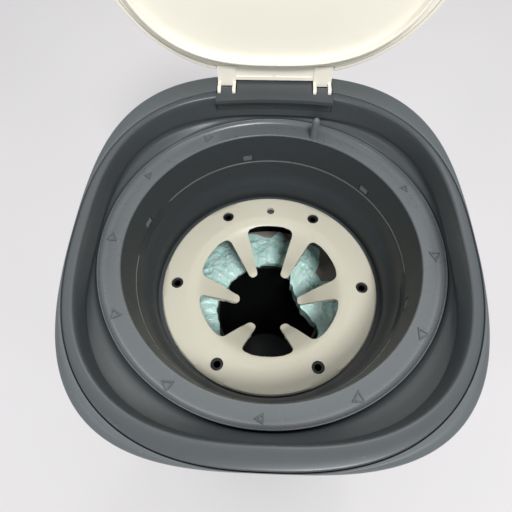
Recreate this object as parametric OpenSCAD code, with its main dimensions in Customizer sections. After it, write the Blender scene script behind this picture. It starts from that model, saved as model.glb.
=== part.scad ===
// Nappy bin: a tub with a hinged head, a twisting cassette carrier, a lid with a dial, and spare cassettes.
// Origin: centre of the base on the floor. +Z up, -Y front, +Y hinge side. Millimetres.

/* [Body] */
// Outer width of the head at its widest
body_width = 266; // [258:1:276]
// How much deeper than wide the head is
depth_over_width = 31; // [28:0.5:36]
// Height of the head's open rim above the floor
rim_height = 416; // [412:1:440]
// Height of the head above the tub
head_height = 128; // [126:1:138]
// Wall of the tub and of the head casing
shell_wall = 2.6; // [2:0.1:3.2]
// Taper of the tub's sides, from the head to the base
side_taper = 16.5; // [12:0.5:18]
// Taper of the tub's front and back
front_taper = 22; // [18:0.5:24]
// Gap between the head and the tub
split_gap = 0.3; // [0.2:0.05:0.5]
// Squareness of the body's outline in front: 2 is an ellipse
body_square = 3.1; // [2.8:0.05:3.4]
// Squareness of the body's outline behind
body_square_back = 2.85; // [2.7:0.05:3.2]

/* [Rim and liner] */
// Width of the groove between casing and liner
seam_gap = 0.6; // [0.4:0.1:1]
// Wall of the liner
liner_wall = 2.6; // [2.2:0.1:3]
// Depth of the liner's wall down to the twist ring
ring_depth = 30; // [28:0.5:32]
// Width of casing and liner together, beside the twist ring
rim_side = 8.5; // [8:0.1:9.5]

/* [Twist ring and carrier] */
// Running gap round the twist ring
ring_gap = 0.5; // [0.3:0.1:0.8]
// Width of the twist ring's ledge, with its running gap
ledge_width = 15.9; // [15.4:0.1:16.4]
// Thickness of the twist ring
ring_wall = 2.6; // [2:0.1:2.8]
// Height of the drive peg above the ledge
peg_height = 21; // [18:0.5:22]
// Radius of the drive peg
peg_r = 3.4; // [3:0.1:4]
// Distance of the drive peg's axis from the ledge's inner edge
peg_inset = 3.8; // [3.6:0.1:4.4]
// Angle of the drive peg, from +X
peg_angle = 72; // [60:1:80]
// Step from the ledge's inner edge in to the cassette's seat
seat_step = 11.6; // [11:0.1:12.4]
// Height of the cassette seat's wall
seat_h = 12; // [10:0.5:14]
// Wall of the carrier
carrier_wall = 2.4; // [2:0.1:2.6]
// Number of snap tabs that hold the carrier to the ring
tab_count = 6; // [4:1:8]

/* [Finger ring] */
// Gap round the finger ring in the cassette's seat
finger_ring_gap = 3.5; // [3:0.1:5]
// Thickness of its flat part
finger_ring_t = 4.5; // [4:0.1:5]
// Radius of the opening between the fingers' roots
finger_root_r = 62.5; // [61:0.5:64]
// Radius at the fingers' tips
finger_tip_r = 27.6; // [26:0.1:29]
// Drop from the flat part to the fingers' tips
finger_drop = 36.4; // [34:0.5:38]
// Number of fingers, and of screws
finger_count = 6; // [6:1:6]

/* [Lid and dial] */
// Angle of the lid when open
lid_open = 100; // [95:1:101]
// Height of the lid above the rim
lid_height = 56; // [52:1:60]
// Wall of the lid
lid_wall = 2.5; // [2:0.1:3]
// Radius of the dial on the lid
dial_r = 56; // [50:1:60]
// Height of the dial
dial_h = 16; // [12:1:20]
// Radius of the dial's spindle
spindle_r = 6; // [5:0.5:7]

/* [Fits and fasteners] */
// Radial clearance of each turning fit
run_fit = 0.05; // [0.02:0.01:0.09]
// Gap between pieces that slide or sit loosely
slip = 0.3; // [0.2:0.05:0.4]
// Radius of the lid's hinge pins
lid_pin_r = 2; // [1.8:0.1:2.2]
// Radius of the head's hinge pin
head_pin_r = 2.5; // [2.2:0.1:3]
// Radius of the screws' shanks
screw_r = 1.5; // [1.2:0.1:1.7]
// Travel of the release button
button_travel = 4; // [3:0.5:4.5]
// Travel of the film cutter to each side
cutter_travel = 22; // [16:1:24]

/* [Spare cassettes] */
// Free height between the top cassette and the fingers
cassette_room = 32; // [30:0.5:40]
// Slack of a cassette in its seat
cassette_slack = 0.5; // [0.3:0.1:1]
// Width of a cassette's ring of film
cassette_ring_w = 46.5; // [44:0.5:50]
// Wall of a cassette
cassette_wall = 2.4; // [1.6:0.1:3]

/* [Hidden] */
$fn = 96;
SIDES = 72;
cut = 1; // how far a cutting solid passes the face it cuts

// Colours
c_shell = "#5b6062";
c_liner = "#565b5d";
c_ring = "#5f6466";
c_cream = "#d3cfbd";
c_lid = "#f4f1e2";
c_dark = "#2c2c2c";
c_steel = "#b8bcc0";
c_film = "#b4e4d6";
c_cassette = "#7b7470";
c_seal = "#8f9698";

// Levels above the floor
rim_z = rim_height;
split_z = rim_z - head_height;
foot_h = 4;
tub_floor_t = 4;
tub_floor_z = foot_h + tub_floor_t;
ledge_z = rim_z - ring_depth;
ring_z = ledge_z - 69.6;

// Radii of the round parts, from the liner inwards
ring_bore_r = body_width / 2 - rim_side;
ledge_r = ring_bore_r - ledge_width;
peg_circle_r = ledge_r + peg_inset;
seat_r = ledge_r - seat_step;
finger_ring_r = seat_r - finger_ring_gap;
step_r = finger_root_r + 6;
ring_screw_circle_r = (finger_ring_r + step_r) / 2 + 0.1;
cassette_r = seat_r - cassette_slack;
core_r = cassette_r - cassette_ring_w;

// Outlines, as [half width, half depth, shift towards the back, squareness]
half_w = body_width / 2;
half_d = (body_width + depth_over_width) / 2;
back_shift = 2.5;
front_y = back_shift - half_d;
back_y = back_shift + half_d;
seam_a = half_w - 1.7;
seam_shift = -7.1;
seam_b = -front_y + seam_shift - 0.5;
seam_n = 2.5;
rim_in_a = seam_a - 7.8;
rim_in_b = seam_b - 10.8;
rim_in_shift = -4.9;
rim_in_n = 2.7;

function radius_at(t, a, b, n) = pow(pow(abs(cos(t)) / a, n) + pow(abs(sin(t)) / b, n), -1 / n);
// One level of a lofted shell. back is added to its squareness behind.
function level(z, a, b, shift, n, back = 0) = [for (i = [0 : SIDES - 1])
    let (t = 360 * i / SIDES, r = radius_at(t, a, b, t < 180 ? n + back : n))
    [r * cos(t), r * sin(t) + shift, z]];
function round_level(z, r) = level(z, r, r, 0, 2);
square_back = body_square_back - body_square;
function body_level(z, share, inset = 0) = level(z, half_w - inset - 3.5 * share, half_d - inset - 4 * share,
    back_shift - share, body_square, square_back);
function side_faces(from, to) = [for (j = [0 : SIDES - 1]) let (k = (j + 1) % SIDES)
    let (low = from * SIDES, high = to * SIDES)
    each [[low + j, high + j, high + k], [low + j, high + k, low + k]]];
function flat(lists) = [for (list = lists) each list];

// A shell whose section is closed at both ends by a flat face, such as a cup
module capped_loft(levels) {
    last = len(levels) - 1;
    polyhedron(flat(levels), concat(
        flat([for (i = [0 : last - 1]) side_faces(i, i + 1)]),
        [[for (j = [0 : SIDES - 1]) j], [for (j = [SIDES - 1 : -1 : 0]) last * SIDES + j]]));
}

// A shell that is open right through, whose last level joins its first
module ring_loft(levels) {
    polyhedron(flat(levels), flat([for (i = [0 : len(levels) - 1]) side_faces(i, (i + 1) % len(levels))]));
}

module box(low, high) {
    translate(low) cube(high - low);
}

module tube(r_in, r_out, low, high) {
    rotate_extrude() polygon([[r_in, low], [r_out, low], [r_out, high], [r_in, high]]);
}

module around(count, start = 0) {
    for (i = [0 : count - 1]) rotate([0, 0, start + 360 * i / count]) children();
}

// A cylinder along +X
module rod_x(r, from, to) {
    translate([from, 0, 0]) rotate([0, 90, 0]) cylinder(r = r, h = to - from);
}

// ---- Tub ----
hinge_pad_y = back_y - 4;
hinge_knuckle_r = 5.5;
hinge_leaf_t = 2.5;
hinge_y = hinge_pad_y + hinge_knuckle_r + 0.5;
hinge_half_w = 42;
hinge_mid_half_w = 19.4;
tub_pad_low = split_z - 26;
tub_pad_high = split_z - 3;
strike_y = front_y + 7;
strike_low = split_z - 10;
tub_top_z = split_z - split_gap;
base_a = half_w - side_taper;
base_b = half_d - front_taper;
tub_mid_z = (tub_floor_z + tub_top_z) / 2;

module tub() {
    color(c_shell) {
        union() {
            capped_loft([
                level(foot_h, base_a - 3.6, base_b - 3.6, 0, 2.9),
                level(foot_h + 2.4, base_a - 0.6, base_b - 0.6, 0, 2.95),
                level(foot_h + 8, base_a + 0.8, base_b + 0.8, 0, 3),
                level(tub_mid_z, half_w - 9.5, half_d - 11, 0.8, 3.05, square_back / 2),
                body_level(tub_top_z, 1),
                body_level(tub_top_z, 1, shell_wall),
                level(tub_mid_z, half_w - 9.5 - shell_wall, half_d - 11 - shell_wall, 0.8, 3.05,
                    square_back / 2),
                level(foot_h + 10, base_a + 1 - shell_wall, base_b + 1 - shell_wall, 0, 3),
                level(tub_floor_z, base_a - 2.5 - shell_wall, base_b - 2.5 - shell_wall, 0, 2.95)
            ]);
            box([-hinge_half_w, hinge_pad_y - 5.5, tub_pad_low], [hinge_half_w, hinge_pad_y, tub_pad_high]);
            box([-12, front_y + 4.2, strike_low - 7], [12, strike_y, strike_low + 8]);
        }
    }
}

base_ring_out_r = base_a - 16.5;
base_ring_in_r = base_ring_out_r - 12;

module base_ring() {
    color(c_seal) tube(base_ring_in_r, base_ring_out_r, 0, foot_h);
}

module tub_hinge_bracket() {
    leaf_low = tub_pad_low + 2;
    leaf_high = split_z - hinge_knuckle_r - 1.5;
    color(c_shell) {
        difference() {
            union() {
                box([-hinge_half_w, hinge_pad_y, leaf_low],
                    [hinge_half_w, hinge_pad_y + hinge_leaf_t, leaf_high]);
                for (side = [-1, 1]) {
                    middle = side * (hinge_half_w + hinge_mid_half_w + 0.6) / 2;
                    half = (hinge_half_w - hinge_mid_half_w - 0.6) / 2;
                    box([middle - half, hinge_pad_y, leaf_high - 4], [middle + half, hinge_y, split_z - 2]);
                    translate([0, hinge_y, split_z]) rod_x(hinge_knuckle_r, middle - half, middle + half);
                }
            }
            translate([0, hinge_y, split_z])
                rod_x(head_pin_r + run_fit, -hinge_half_w - cut, hinge_half_w + cut);
        }
    }
}

module head_hinge_pin() {
    head_t = 1.6;
    color(c_steel) {
        translate([0, hinge_y, split_z]) {
            rod_x(head_pin_r, -hinge_half_w - head_t, hinge_half_w + slip + head_t / 2);
            rod_x(head_pin_r + 1.5, -hinge_half_w - head_t - slip, -hinge_half_w - slip);
            rod_x(head_pin_r + 1.2, hinge_half_w + slip, hinge_half_w + slip + head_t);
        }
    }
}

strike_reach = button_travel - 0.5;
strike_h = 6;

module latch_strike() {
    color(c_dark) {
        box([-10, strike_y, strike_low], [10, strike_y + strike_reach, strike_low + strike_h]);
    }
}

// ---- Spare cassettes, stacked on the tub's floor ----
cassette_count = 3;
cassette_h = (ring_z - finger_drop - cassette_room - tub_floor_z) / cassette_count;
cover_t = 2;
cover_in_r = core_r + 10;
film_gap = 0.4;
scallop_r = cassette_ring_w * 0.41;
scallop_circle_r = core_r + cassette_ring_w * 0.366;
scallop_count = 6;
scallop_start = 0;
function cassette_z(i) = tub_floor_z + (i - 1) * cassette_h;

module cassette_body(i) {
    top = cassette_h - cover_t;
    color(c_dark) {
        translate([0, 0, cassette_z(i)]) {
            rotate_extrude() polygon([
                [core_r, 0], [cassette_r, 0], [cassette_r, top], [cassette_r - cassette_wall, top],
                [cassette_r - cassette_wall, cassette_wall], [core_r + cassette_wall, cassette_wall],
                [core_r + cassette_wall, top - 1], [core_r + cassette_wall + 1, top],
                [core_r + cassette_wall + 1, top + 0.9], [core_r + cassette_wall, cassette_h - 0.3],
                [core_r, cassette_h - 0.3]
            ]);
        }
    }
}

module cassette_cover(i) {
    color(c_cassette) {
        translate([0, 0, cassette_z(i) + cassette_h - cover_t]) {
            difference() {
                cylinder(r = cassette_r, h = cover_t);
                translate([0, 0, -cut]) cylinder(r = cover_in_r, h = cover_t + 2 * cut);
                around(scallop_count, scallop_start) translate([scallop_circle_r, 0, -cut])
                    cylinder(r = scallop_r, h = cover_t + 2 * cut);
            }
        }
    }
}

module cassette_film(i) {
    low = cassette_wall + film_gap;
    high = cassette_h - cover_t - film_gap;
    r_in = core_r + cassette_wall + 1 + film_gap;
    color(c_film) {
        translate([0, 0, cassette_z(i)]) {
            tube(core_r + cassette_wall + film_gap, cassette_r - cassette_wall - film_gap, low, high - 8);
            tube(r_in, cover_in_r - film_gap, high - 8, cassette_h - 0.5);
        }
    }
}

module cassette_1_body() {
    cassette_body(1);
}

module cassette_1_cover() {
    cassette_cover(1);
}

module cassette_1_film() {
    cassette_film(1);
}

module cassette_2_body() {
    cassette_body(2);
}

module cassette_2_cover() {
    cassette_cover(2);
}

module cassette_2_film() {
    cassette_film(2);
}

module cassette_3_body() {
    cassette_body(3);
}

module cassette_3_cover() {
    cassette_cover(3);
}

module cassette_3_film() {
    cassette_film(3);
}

// ---- Lid hinge, shared by the head and the lid ----
block_half_w = 46.7;
block_low = rim_z - 14;
lid_pivot_y = back_y - 20;
lid_pivot_z = rim_z - 4;
block_front_y = lid_pivot_y - 13.8;
block_wall_y = lid_pivot_y - 8.1;
block_sweep = 3;
plate_t = 3;
block_back_y = lid_pivot_y + 8.6;
prong_r = 5;
prong_w = 3.9;
fork_x = 38.8;
tongue_half_w = 4.4;
fork_half_w = 7.3;
notch_front_y = lid_pivot_y - 7.4;
notch_half_w = 8.3;

// ---- Head ----
button_half_w = 19.6;
button_low = split_z + 6.4;
button_high = split_z + 21.6;
button_mid = (button_low + button_high) / 2;
button_gap = 0.4;

module hinge_cut(extra) {
    box([-block_half_w - extra, block_front_y - block_sweep - extra, block_low - extra],
        [block_half_w + extra, block_back_y + extra, rim_z + 10]);
}

module head_casing() {
    color(c_shell) {
        difference() {
            union() {
                ring_loft([
                    body_level(split_z, 1),
                    body_level(rim_z - 60, 0.3),
                    body_level(rim_z - 14, 0.05),
                    body_level(rim_z - 6, 0),
                    level(rim_z - 3.2, half_w - 0.15, half_d - 0.6, back_shift - 0.5,
                        body_square, square_back),
                    level(rim_z - 1.4, half_w - 0.6, half_d - 2.9, back_shift - 2.7,
                        body_square - 0.2, square_back),
                    level(rim_z - 0.3, half_w - 1.2, half_d - 6.6, back_shift - 6.3,
                        body_square - 0.4, square_back),
                    level(rim_z - 0.9, seam_a, seam_b, seam_shift, seam_n),
                    level(rim_z - 3.4, seam_a, seam_b, seam_shift, seam_n),
                    body_level(rim_z - 9, 0, shell_wall),
                    body_level(rim_z - 60, 0.3, shell_wall),
                    body_level(split_z, 1, shell_wall)
                ]);
                box([-hinge_mid_half_w - 1, hinge_pad_y - 5.5, split_z + 2],
                    [hinge_mid_half_w + 1, hinge_pad_y, split_z + 23]);
            }
            hinge_cut(slip);
            box([-button_half_w - button_gap, front_y - 5, button_low - button_gap],
                [button_half_w + button_gap, front_y + 10, button_high + button_gap]);
        }
    }
}

lip_h = 3;
lip_z = ledge_z - 14;
lip_r = ring_bore_r - 5.5;
liner_out_r = ring_bore_r + 3;
housing_screw_circle_r = ring_bore_r - 2.9;
housing_screw_count = 4;

module head_liner() {
    a = rim_in_a;
    b = rim_in_b;
    color(c_liner) {
        difference() {
            ring_loft([
                round_level(lip_z - lip_h, liner_out_r),
                round_level(ledge_z - 4, liner_out_r),
                level(ledge_z + 6.5, ring_bore_r + 2.6, b - 1.2 + liner_wall, -1.4, 2.4),
                level(ledge_z + 11, a - 0.1 + liner_wall, b - 1.2 + liner_wall, -4.2, rim_in_n),
                level(rim_z - 7, a + 0.5 + liner_wall, b + 0.6 + liner_wall, rim_in_shift, rim_in_n),
                level(rim_z - 4.4, seam_a - seam_gap, seam_b - seam_gap, seam_shift, seam_n),
                level(rim_z - 1, seam_a - seam_gap, seam_b - seam_gap, seam_shift, seam_n),
                level(rim_z - 0.2, seam_a - seam_gap - 0.9, seam_b - seam_gap - 1, seam_shift, seam_n),
                level(rim_z, (a + seam_a) / 2, (b + seam_b) / 2, (rim_in_shift + seam_shift) / 2, 2.6),
                level(rim_z - 0.5, a + 0.8, b + 1, rim_in_shift, rim_in_n),
                level(rim_z - 2.4, a, b, rim_in_shift, rim_in_n),
                level(ledge_z + 10, a - 0.2, b - 1.3, -4.2, 2.68),
                level(ledge_z + 6, ring_bore_r, b - 1.2, -1.4, 2.4),
                level(ledge_z + 3, ring_bore_r, ring_bore_r + 0.9, -0.7, 2.15),
                round_level(ledge_z - 1, ring_bore_r),
                round_level(lip_z, ring_bore_r),
                round_level(lip_z, lip_r),
                round_level(lip_z - lip_h, lip_r)
            ]);
            hinge_cut(slip);
            around(housing_screw_count, 45) translate([housing_screw_circle_r, 0, lip_z - lip_h - cut])
                cylinder(r = screw_r + 0.1, h = lip_h + 2 * cut);
        }
    }
}

module head_hinge_leaf() {
    leaf_low = split_z + 4;
    leaf_high = split_z + 21;
    color(c_shell) {
        difference() {
            union() {
                box([-hinge_mid_half_w, hinge_pad_y, leaf_low],
                    [hinge_mid_half_w, hinge_pad_y + hinge_leaf_t, leaf_high]);
                box([-hinge_mid_half_w, hinge_pad_y + 0.5, split_z],
                    [hinge_mid_half_w, hinge_y, split_z + 8]);
                translate([0, hinge_y, split_z]) rod_x(hinge_knuckle_r, -hinge_mid_half_w, hinge_mid_half_w);
            }
            translate([0, hinge_y, split_z]) rod_x(head_pin_r + run_fit, -hinge_half_w, hinge_half_w);
        }
    }
}

// A slab of the hinge block. Its curved front is at front in the middle and block_sweep before it at the sides.
module block_slab(front, low, high) {
    steps = 12;
    translate([0, 0, low]) linear_extrude(high - low) polygon(concat(
        [[-block_half_w, block_back_y]],
        [for (i = [-steps : steps]) [block_half_w * i / steps, front - block_sweep * pow(i / steps, 2)]],
        [[block_half_w, block_back_y]]));
}

module lid_hinge_block() {
    tongue_back_y = lid_pivot_y + prong_r;
    color(c_liner) {
        difference() {
            union() {
                difference() {
                    union() {
                        block_slab(block_wall_y, block_low, rim_z - plate_t + 1);
                        block_slab(block_front_y, rim_z - plate_t, rim_z);
                    }
                    for (side = [-1, 1]) {
                        box([side * fork_x - notch_half_w, notch_front_y, block_low + 2],
                            [side * fork_x + notch_half_w, block_back_y + cut, rim_z + cut]);
                    }
                }
                for (side = [-1, 1]) {
                    box([side * fork_x - tongue_half_w, notch_front_y - 0.5, block_low + 1],
                        [side * fork_x + tongue_half_w, lid_pivot_y, rim_z - 0.6]);
                    box([side * fork_x - tongue_half_w, lid_pivot_y - 0.5, block_low + 1],
                        [side * fork_x + tongue_half_w, tongue_back_y, lid_pivot_z]);
                    translate([side * fork_x, lid_pivot_y, lid_pivot_z])
                        rod_x(prong_r - 1.6, -tongue_half_w, tongue_half_w);
                }
            }
            for (side = [-1, 1]) {
                translate([side * fork_x, lid_pivot_y, lid_pivot_z])
                    rod_x(lid_pin_r, -tongue_half_w - cut, tongue_half_w + cut);
            }
        }
    }
}

module lid_hinge_pins() {
    color(c_steel) {
        for (side = [-1, 1]) {
            translate([side * fork_x, lid_pivot_y, lid_pivot_z]) rod_x(lid_pin_r, -fork_half_w, fork_half_w);
        }
    }
}

housing_in_r = ledge_r + 1.4;
housing_wall = 2.4;
housing_out_r = housing_in_r + housing_wall;
flange_t = 3;
collar_top_z = ledge_z - 6;
housing_floor_z = ring_z - finger_ring_t;
housing_floor_t = 3;
throat_r = step_r + 0.3;
boss_r = 4;
boss_h = 7;

housing_foot_h = 3;

module mechanism_housing() {
    under = housing_floor_z - housing_floor_t;
    color(c_liner) {
        difference() {
            union() {
                tube(throat_r, housing_out_r, under, housing_floor_z);
                tube(housing_in_r - housing_wall, housing_in_r, under, housing_floor_z + housing_foot_h);
                around(finger_count) translate([ring_screw_circle_r, 0, under - boss_h])
                    cylinder(r = boss_r, h = boss_h + 1);
            }
            around(finger_count) translate([ring_screw_circle_r, 0, under - boss_h - cut])
                cylinder(r = screw_r + 0.1, h = boss_h + housing_floor_t + 2 * cut);
        }
    }
}

// The wall of the bowl, which stands on its floor and hangs on the liner's lip by its flange
module housing_collar() {
    color(c_liner) {
        difference() {
            union() {
                tube(housing_in_r, housing_out_r, housing_floor_z, collar_top_z);
                tube(housing_in_r + 1, ring_bore_r - slip, lip_z, lip_z + flange_t);
            }
            around(housing_screw_count, 45) translate([housing_screw_circle_r, 0, lip_z - cut])
                cylinder(r = screw_r + 0.1, h = flange_t + 2 * cut);
        }
    }
}

screw_head_h = 1.8;

module screw(length, head_r, head_h) {
    translate([0, 0, -length]) cylinder(r = screw_r, h = length + 0.5);
    difference() {
        cylinder(r = head_r, h = head_h);
        for (turn = [0, 90]) rotate([0, 0, turn])
            box([-head_r * 0.5, -0.5, head_h - 1], [head_r * 0.5, 0.5, head_h + cut]);
    }
}

module housing_screws() {
    color(c_steel) around(housing_screw_count, 45)
        translate([housing_screw_circle_r, 0, lip_z + flange_t])
        screw(flange_t + lip_h + 1, 2.5, screw_head_h);
}

glide_in_r = housing_out_r + 0.3;
glide_out_r = glide_in_r + 5.5;
glide_t = 2.5;

module glide_ring() {
    color(c_cream) tube(glide_in_r, glide_out_r, lip_z + flange_t, lip_z + flange_t + glide_t);
}

// Corner p of a polygon as an arc of radius r, with its neighbours a and b
function rounded_corner(a, p, b, r, steps = 4) =
    let (u = (a - p) / norm(a - p), v = (b - p) / norm(b - p))
    let (half = acos(u * v) / 2, reach = r / tan(half))
    let (centre = p + (u + v) / norm(u + v) * r / sin(half))
    let (from = p + u * reach - centre, to = p + v * reach - centre)
    let (start = atan2(from[1], from[0]), turn = atan2(from[0] * to[1] - from[1] * to[0], from * to))
    [for (i = [0 : steps]) centre + r * [cos(start + turn * i / steps), sin(start + turn * i / steps)]];
function turned(p, t) = [p[0] * cos(t) - p[1] * sin(t), p[0] * sin(t) + p[1] * cos(t)];

// The opening between the fingers: for each finger its tip's two corners, then the gap's corners to the next
finger_pitch = 360 / finger_count;
finger_tip_half_w = 3.7;
finger_root_half_w = 9.3;
finger_root_x = finger_root_r - 1.6;
gap_corner_r = 5;
gap_arc = [-12, -6, 0, 6, 12];

function finger_gap_points() = flat([for (k = [0 : finger_count - 1]) let (t = finger_pitch * k) concat(
    [concat(turned([finger_tip_r, -finger_tip_half_w], t), finger_tip_half_w - 0.05)],
    [concat(turned([finger_tip_r, finger_tip_half_w], t), finger_tip_half_w - 0.05)],
    [concat(turned([finger_root_x, finger_root_half_w], t), gap_corner_r)],
    [for (more = gap_arc) concat(turned([finger_root_r + 0.2, 0], t + finger_pitch / 2 + more), 0)],
    [concat(turned([finger_root_x, -finger_root_half_w], t + finger_pitch), gap_corner_r)]
)]);
function xy(p) = [p[0], p[1]];

module finger_opening() {
    points = finger_gap_points();
    count = len(points);
    polygon(flat([for (i = [0 : count - 1])
        points[i][2] == 0 ? [xy(points[i])]
        : rounded_corner(xy(points[(i + count - 1) % count]), xy(points[i]),
            xy(points[(i + 1) % count]), points[i][2])]));
}

ring_recess_r = 5.3;
ring_recess_d = 3;
ring_screw_head_r = 4.6;
locating_hole_r = 3.65;
finger_wall = 2.6;

// Radius of a point of the fingers, from 0 at their tips to 1 at their roots
function along_finger(share) = finger_tip_r + share * (finger_root_r - finger_tip_r);

module finger_ring_profile() {
    top = ring_z;
    drop = finger_drop;
    inner = finger_tip_r - 3;
    polygon([
        [inner, top - drop], [finger_tip_r + 4, top - drop + 2.6],
        [along_finger(0.375), top - drop * 0.62], [along_finger(0.65), top - drop * 0.36],
        [finger_root_r - 4, top - drop * 0.15], [finger_root_r + 1, top - drop * 0.055], [step_r, top - 0.9],
        [step_r + 2.5, top], [finger_ring_r - 1.6, top], [finger_ring_r, top - 1.2],
        [finger_ring_r, top - finger_ring_t],
        [step_r, top - finger_ring_t], [finger_root_r, top - finger_ring_t - 1.2],
        [along_finger(0.65), top - drop * 0.36 - finger_wall - 1.2],
        [along_finger(0.375), top - drop * 0.62 - finger_wall - 1],
        [finger_tip_r + 3, top - drop - finger_wall * 0.4], [inner, top - drop - finger_wall]
    ]);
}

module finger_ring() {
    color(c_cream) {
        difference() {
            rotate_extrude() finger_ring_profile();
            translate([0, 0, ring_z - finger_drop - 10]) linear_extrude(finger_drop + 20) finger_opening();
            around(finger_count) translate([ring_screw_circle_r, 0, ring_z]) {
                translate([0, 0, -ring_recess_d]) cylinder(r = ring_recess_r, h = ring_recess_d + cut);
                translate([0, 0, -finger_ring_t - cut])
                    cylinder(r = screw_r + 0.1, h = finger_ring_t + 2 * cut);
            }
            translate([0, ring_screw_circle_r - 3, ring_z - finger_ring_t - cut])
                cylinder(r = locating_hole_r, h = finger_ring_t + 2 * cut);
        }
    }
}

module finger_ring_screws() {
    color(c_dark) around(finger_count)
        translate([ring_screw_circle_r, 0, ring_z - ring_recess_d])
        screw(finger_ring_t + boss_h, ring_screw_head_r, 2.2);
}

// ---- Release latch ----
button_proud = 1.5;
button_front_y = front_y + 2.7 - button_proud;
flange_y = front_y + shell_wall + 3.6;
hook_y = strike_y + strike_reach + 1;
hook_t = 2.5;
bracket_y = hook_y + hook_t + button_travel + 8;
bracket_half_w = 25;

module latch_button() {
    nose_top = strike_low - 0.5;
    color(c_ring) {
        box([-button_half_w, button_front_y, button_low], [button_half_w, hook_y + hook_t, button_high]);
        box([-button_half_w - 3, flange_y, button_low - 2.6],
            [button_half_w + 3, flange_y + 2, button_high + 2.6]);
        box([-6, hook_y, nose_top - 6], [6, hook_y + hook_t, button_high]);
        box([-6, strike_y + strike_reach - 2, nose_top - 6], [6, hook_y + hook_t, nose_top]);
        translate([0, hook_y + hook_t, button_mid]) rotate([-90, 0, 0]) cylinder(r = 2.4, h = 3);
    }
}

spring_r = 4;

module latch_spring() {
    color(c_steel) translate([0, hook_y + hook_t, button_mid]) rotate([-90, 0, 0]) {
        difference() {
            cylinder(r = spring_r, h = bracket_y - hook_y - hook_t);
            translate([0, 0, -cut]) cylinder(r = spring_r - 1, h = bracket_y - hook_y - hook_t + 2 * cut);
        }
    }
}

module latch_bracket() {
    low = button_low - 4.4;
    high = button_high + 4.4;
    wall_y = front_y + shell_wall + 3.7;
    color(c_liner) {
        difference() {
            box([-bracket_half_w - 2, wall_y, low], [bracket_half_w + 2, bracket_y + 2.5, high]);
            box([-bracket_half_w, wall_y - cut, low - cut], [bracket_half_w, bracket_y, high + cut]);
        }
        translate([0, bracket_y - 3, button_mid]) rotate([-90, 0, 0]) cylinder(r = 2.4, h = 4);
    }
}

// ---- Film cutter under the housing ----
cutter_y = -ring_screw_circle_r - 6.9;
cutter_half_d = 7;
rail_wall = 1.8;
slider_half_w = 9;
rail_half_w = cutter_travel + slider_half_w + rail_wall + 3.2;
rail_h = 9;
cutter_top_z = housing_floor_z - housing_floor_t;

module cutter_rail() {
    low = cutter_top_z - rail_h;
    color(c_liner) {
        difference() {
            box([-rail_half_w, cutter_y - cutter_half_d, low],
                [rail_half_w, cutter_y + cutter_half_d, cutter_top_z]);
            box([-rail_half_w + rail_wall, cutter_y - cutter_half_d + rail_wall, low + rail_wall],
                [rail_half_w - rail_wall, cutter_y + cutter_half_d - rail_wall, cutter_top_z - rail_wall]);
            box([-rail_half_w + rail_wall, cutter_y - 2.4, low - cut],
                [rail_half_w - rail_wall, cutter_y + 2.4, low + rail_wall + cut]);
            box([-rail_half_w + rail_wall, cutter_y, low + 3.6],
                [rail_half_w - rail_wall, cutter_y + cutter_half_d + cut, low + 5]);
        }
    }
}

module cutter_slider() {
    low = cutter_top_z - rail_h;
    inner = cutter_half_d - rail_wall - slip;
    color(c_cream) {
        difference() {
            union() {
                box([-slider_half_w, cutter_y - inner, low + rail_wall + slip],
                    [slider_half_w, cutter_y + inner, cutter_top_z - rail_wall - slip]);
                box([-slider_half_w, cutter_y - 2.1, low - 8],
                    [slider_half_w, cutter_y + 2.1, low + rail_wall + 1]);
            }
            box([-4, cutter_y, low + 4], [4, cutter_y + cutter_half_d, low + 4.6]);
        }
    }
}

module cutter_blade() {
    low = cutter_top_z - rail_h;
    color(c_steel) translate([0, 0, low + 4]) linear_extrude(0.6) polygon([
        [-4, cutter_y], [4, cutter_y], [4, cutter_y + cutter_half_d + 5], [-4, cutter_y + cutter_half_d + 9]
    ]);
}

// ---- Twist ring and carrier ----
ring_out_r = ring_bore_r - ring_gap;
skirt_low_z = ledge_z - 28;
skirt_in_r = ledge_r - 3.6;
skirt_out_r = skirt_in_r + 2.4;
rib_in_r = housing_out_r + run_fit;
rib_out_r = rib_in_r + 3.4;
rib_low_z = lip_z + flange_t + glide_t + 0.2;
tab_start = 42;
tab_half_w = 4;
tab_low = skirt_low_z + 2;
tab_high = skirt_low_z + 7;
collar_in_r = skirt_out_r + 0.3;
collar_out_r = housing_in_r - 0.6;
collar_top = skirt_low_z + 11;
shelf_t = 2.4;

module twist_ring() {
    under = ledge_z - ring_wall;
    color(c_ring) {
        difference() {
            rotate_extrude() polygon([
                [skirt_in_r, skirt_low_z], [skirt_out_r, skirt_low_z], [skirt_out_r, collar_top + 4],
                [ledge_r + 0.6, under], [rib_in_r, under], [rib_in_r, rib_low_z], [rib_out_r, rib_low_z],
                [rib_out_r, under], [ring_out_r - 2, under], [ring_out_r - 1.6, under - 3],
                [ring_out_r, under - 3], [ring_out_r, ledge_z + 4.9], [ring_out_r - 0.7, ledge_z + 4.8],
                [ring_out_r - 0.9, ledge_z + 3.5], [ring_out_r - 1.5, ledge_z + 2.1],
                [ring_out_r - 2.9, ledge_z + 0.8], [ring_out_r - 5.4, ledge_z],
                [ledge_r + 0.5, ledge_z], [ledge_r, ledge_z - 0.5], [skirt_in_r + 1.2, collar_top + 2]
            ]);
            around(tab_count, tab_start) box([skirt_in_r - 3, -tab_half_w - 0.4, tab_low - 0.4],
                [skirt_out_r + 3, tab_half_w + 0.4, tab_high + 0.4]);
            rotate([0, 0, peg_angle]) translate([peg_circle_r, 0, under - cut])
                cylinder(r = peg_r - 1.6, h = ring_wall + 2 * cut);
        }
    }
}

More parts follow.
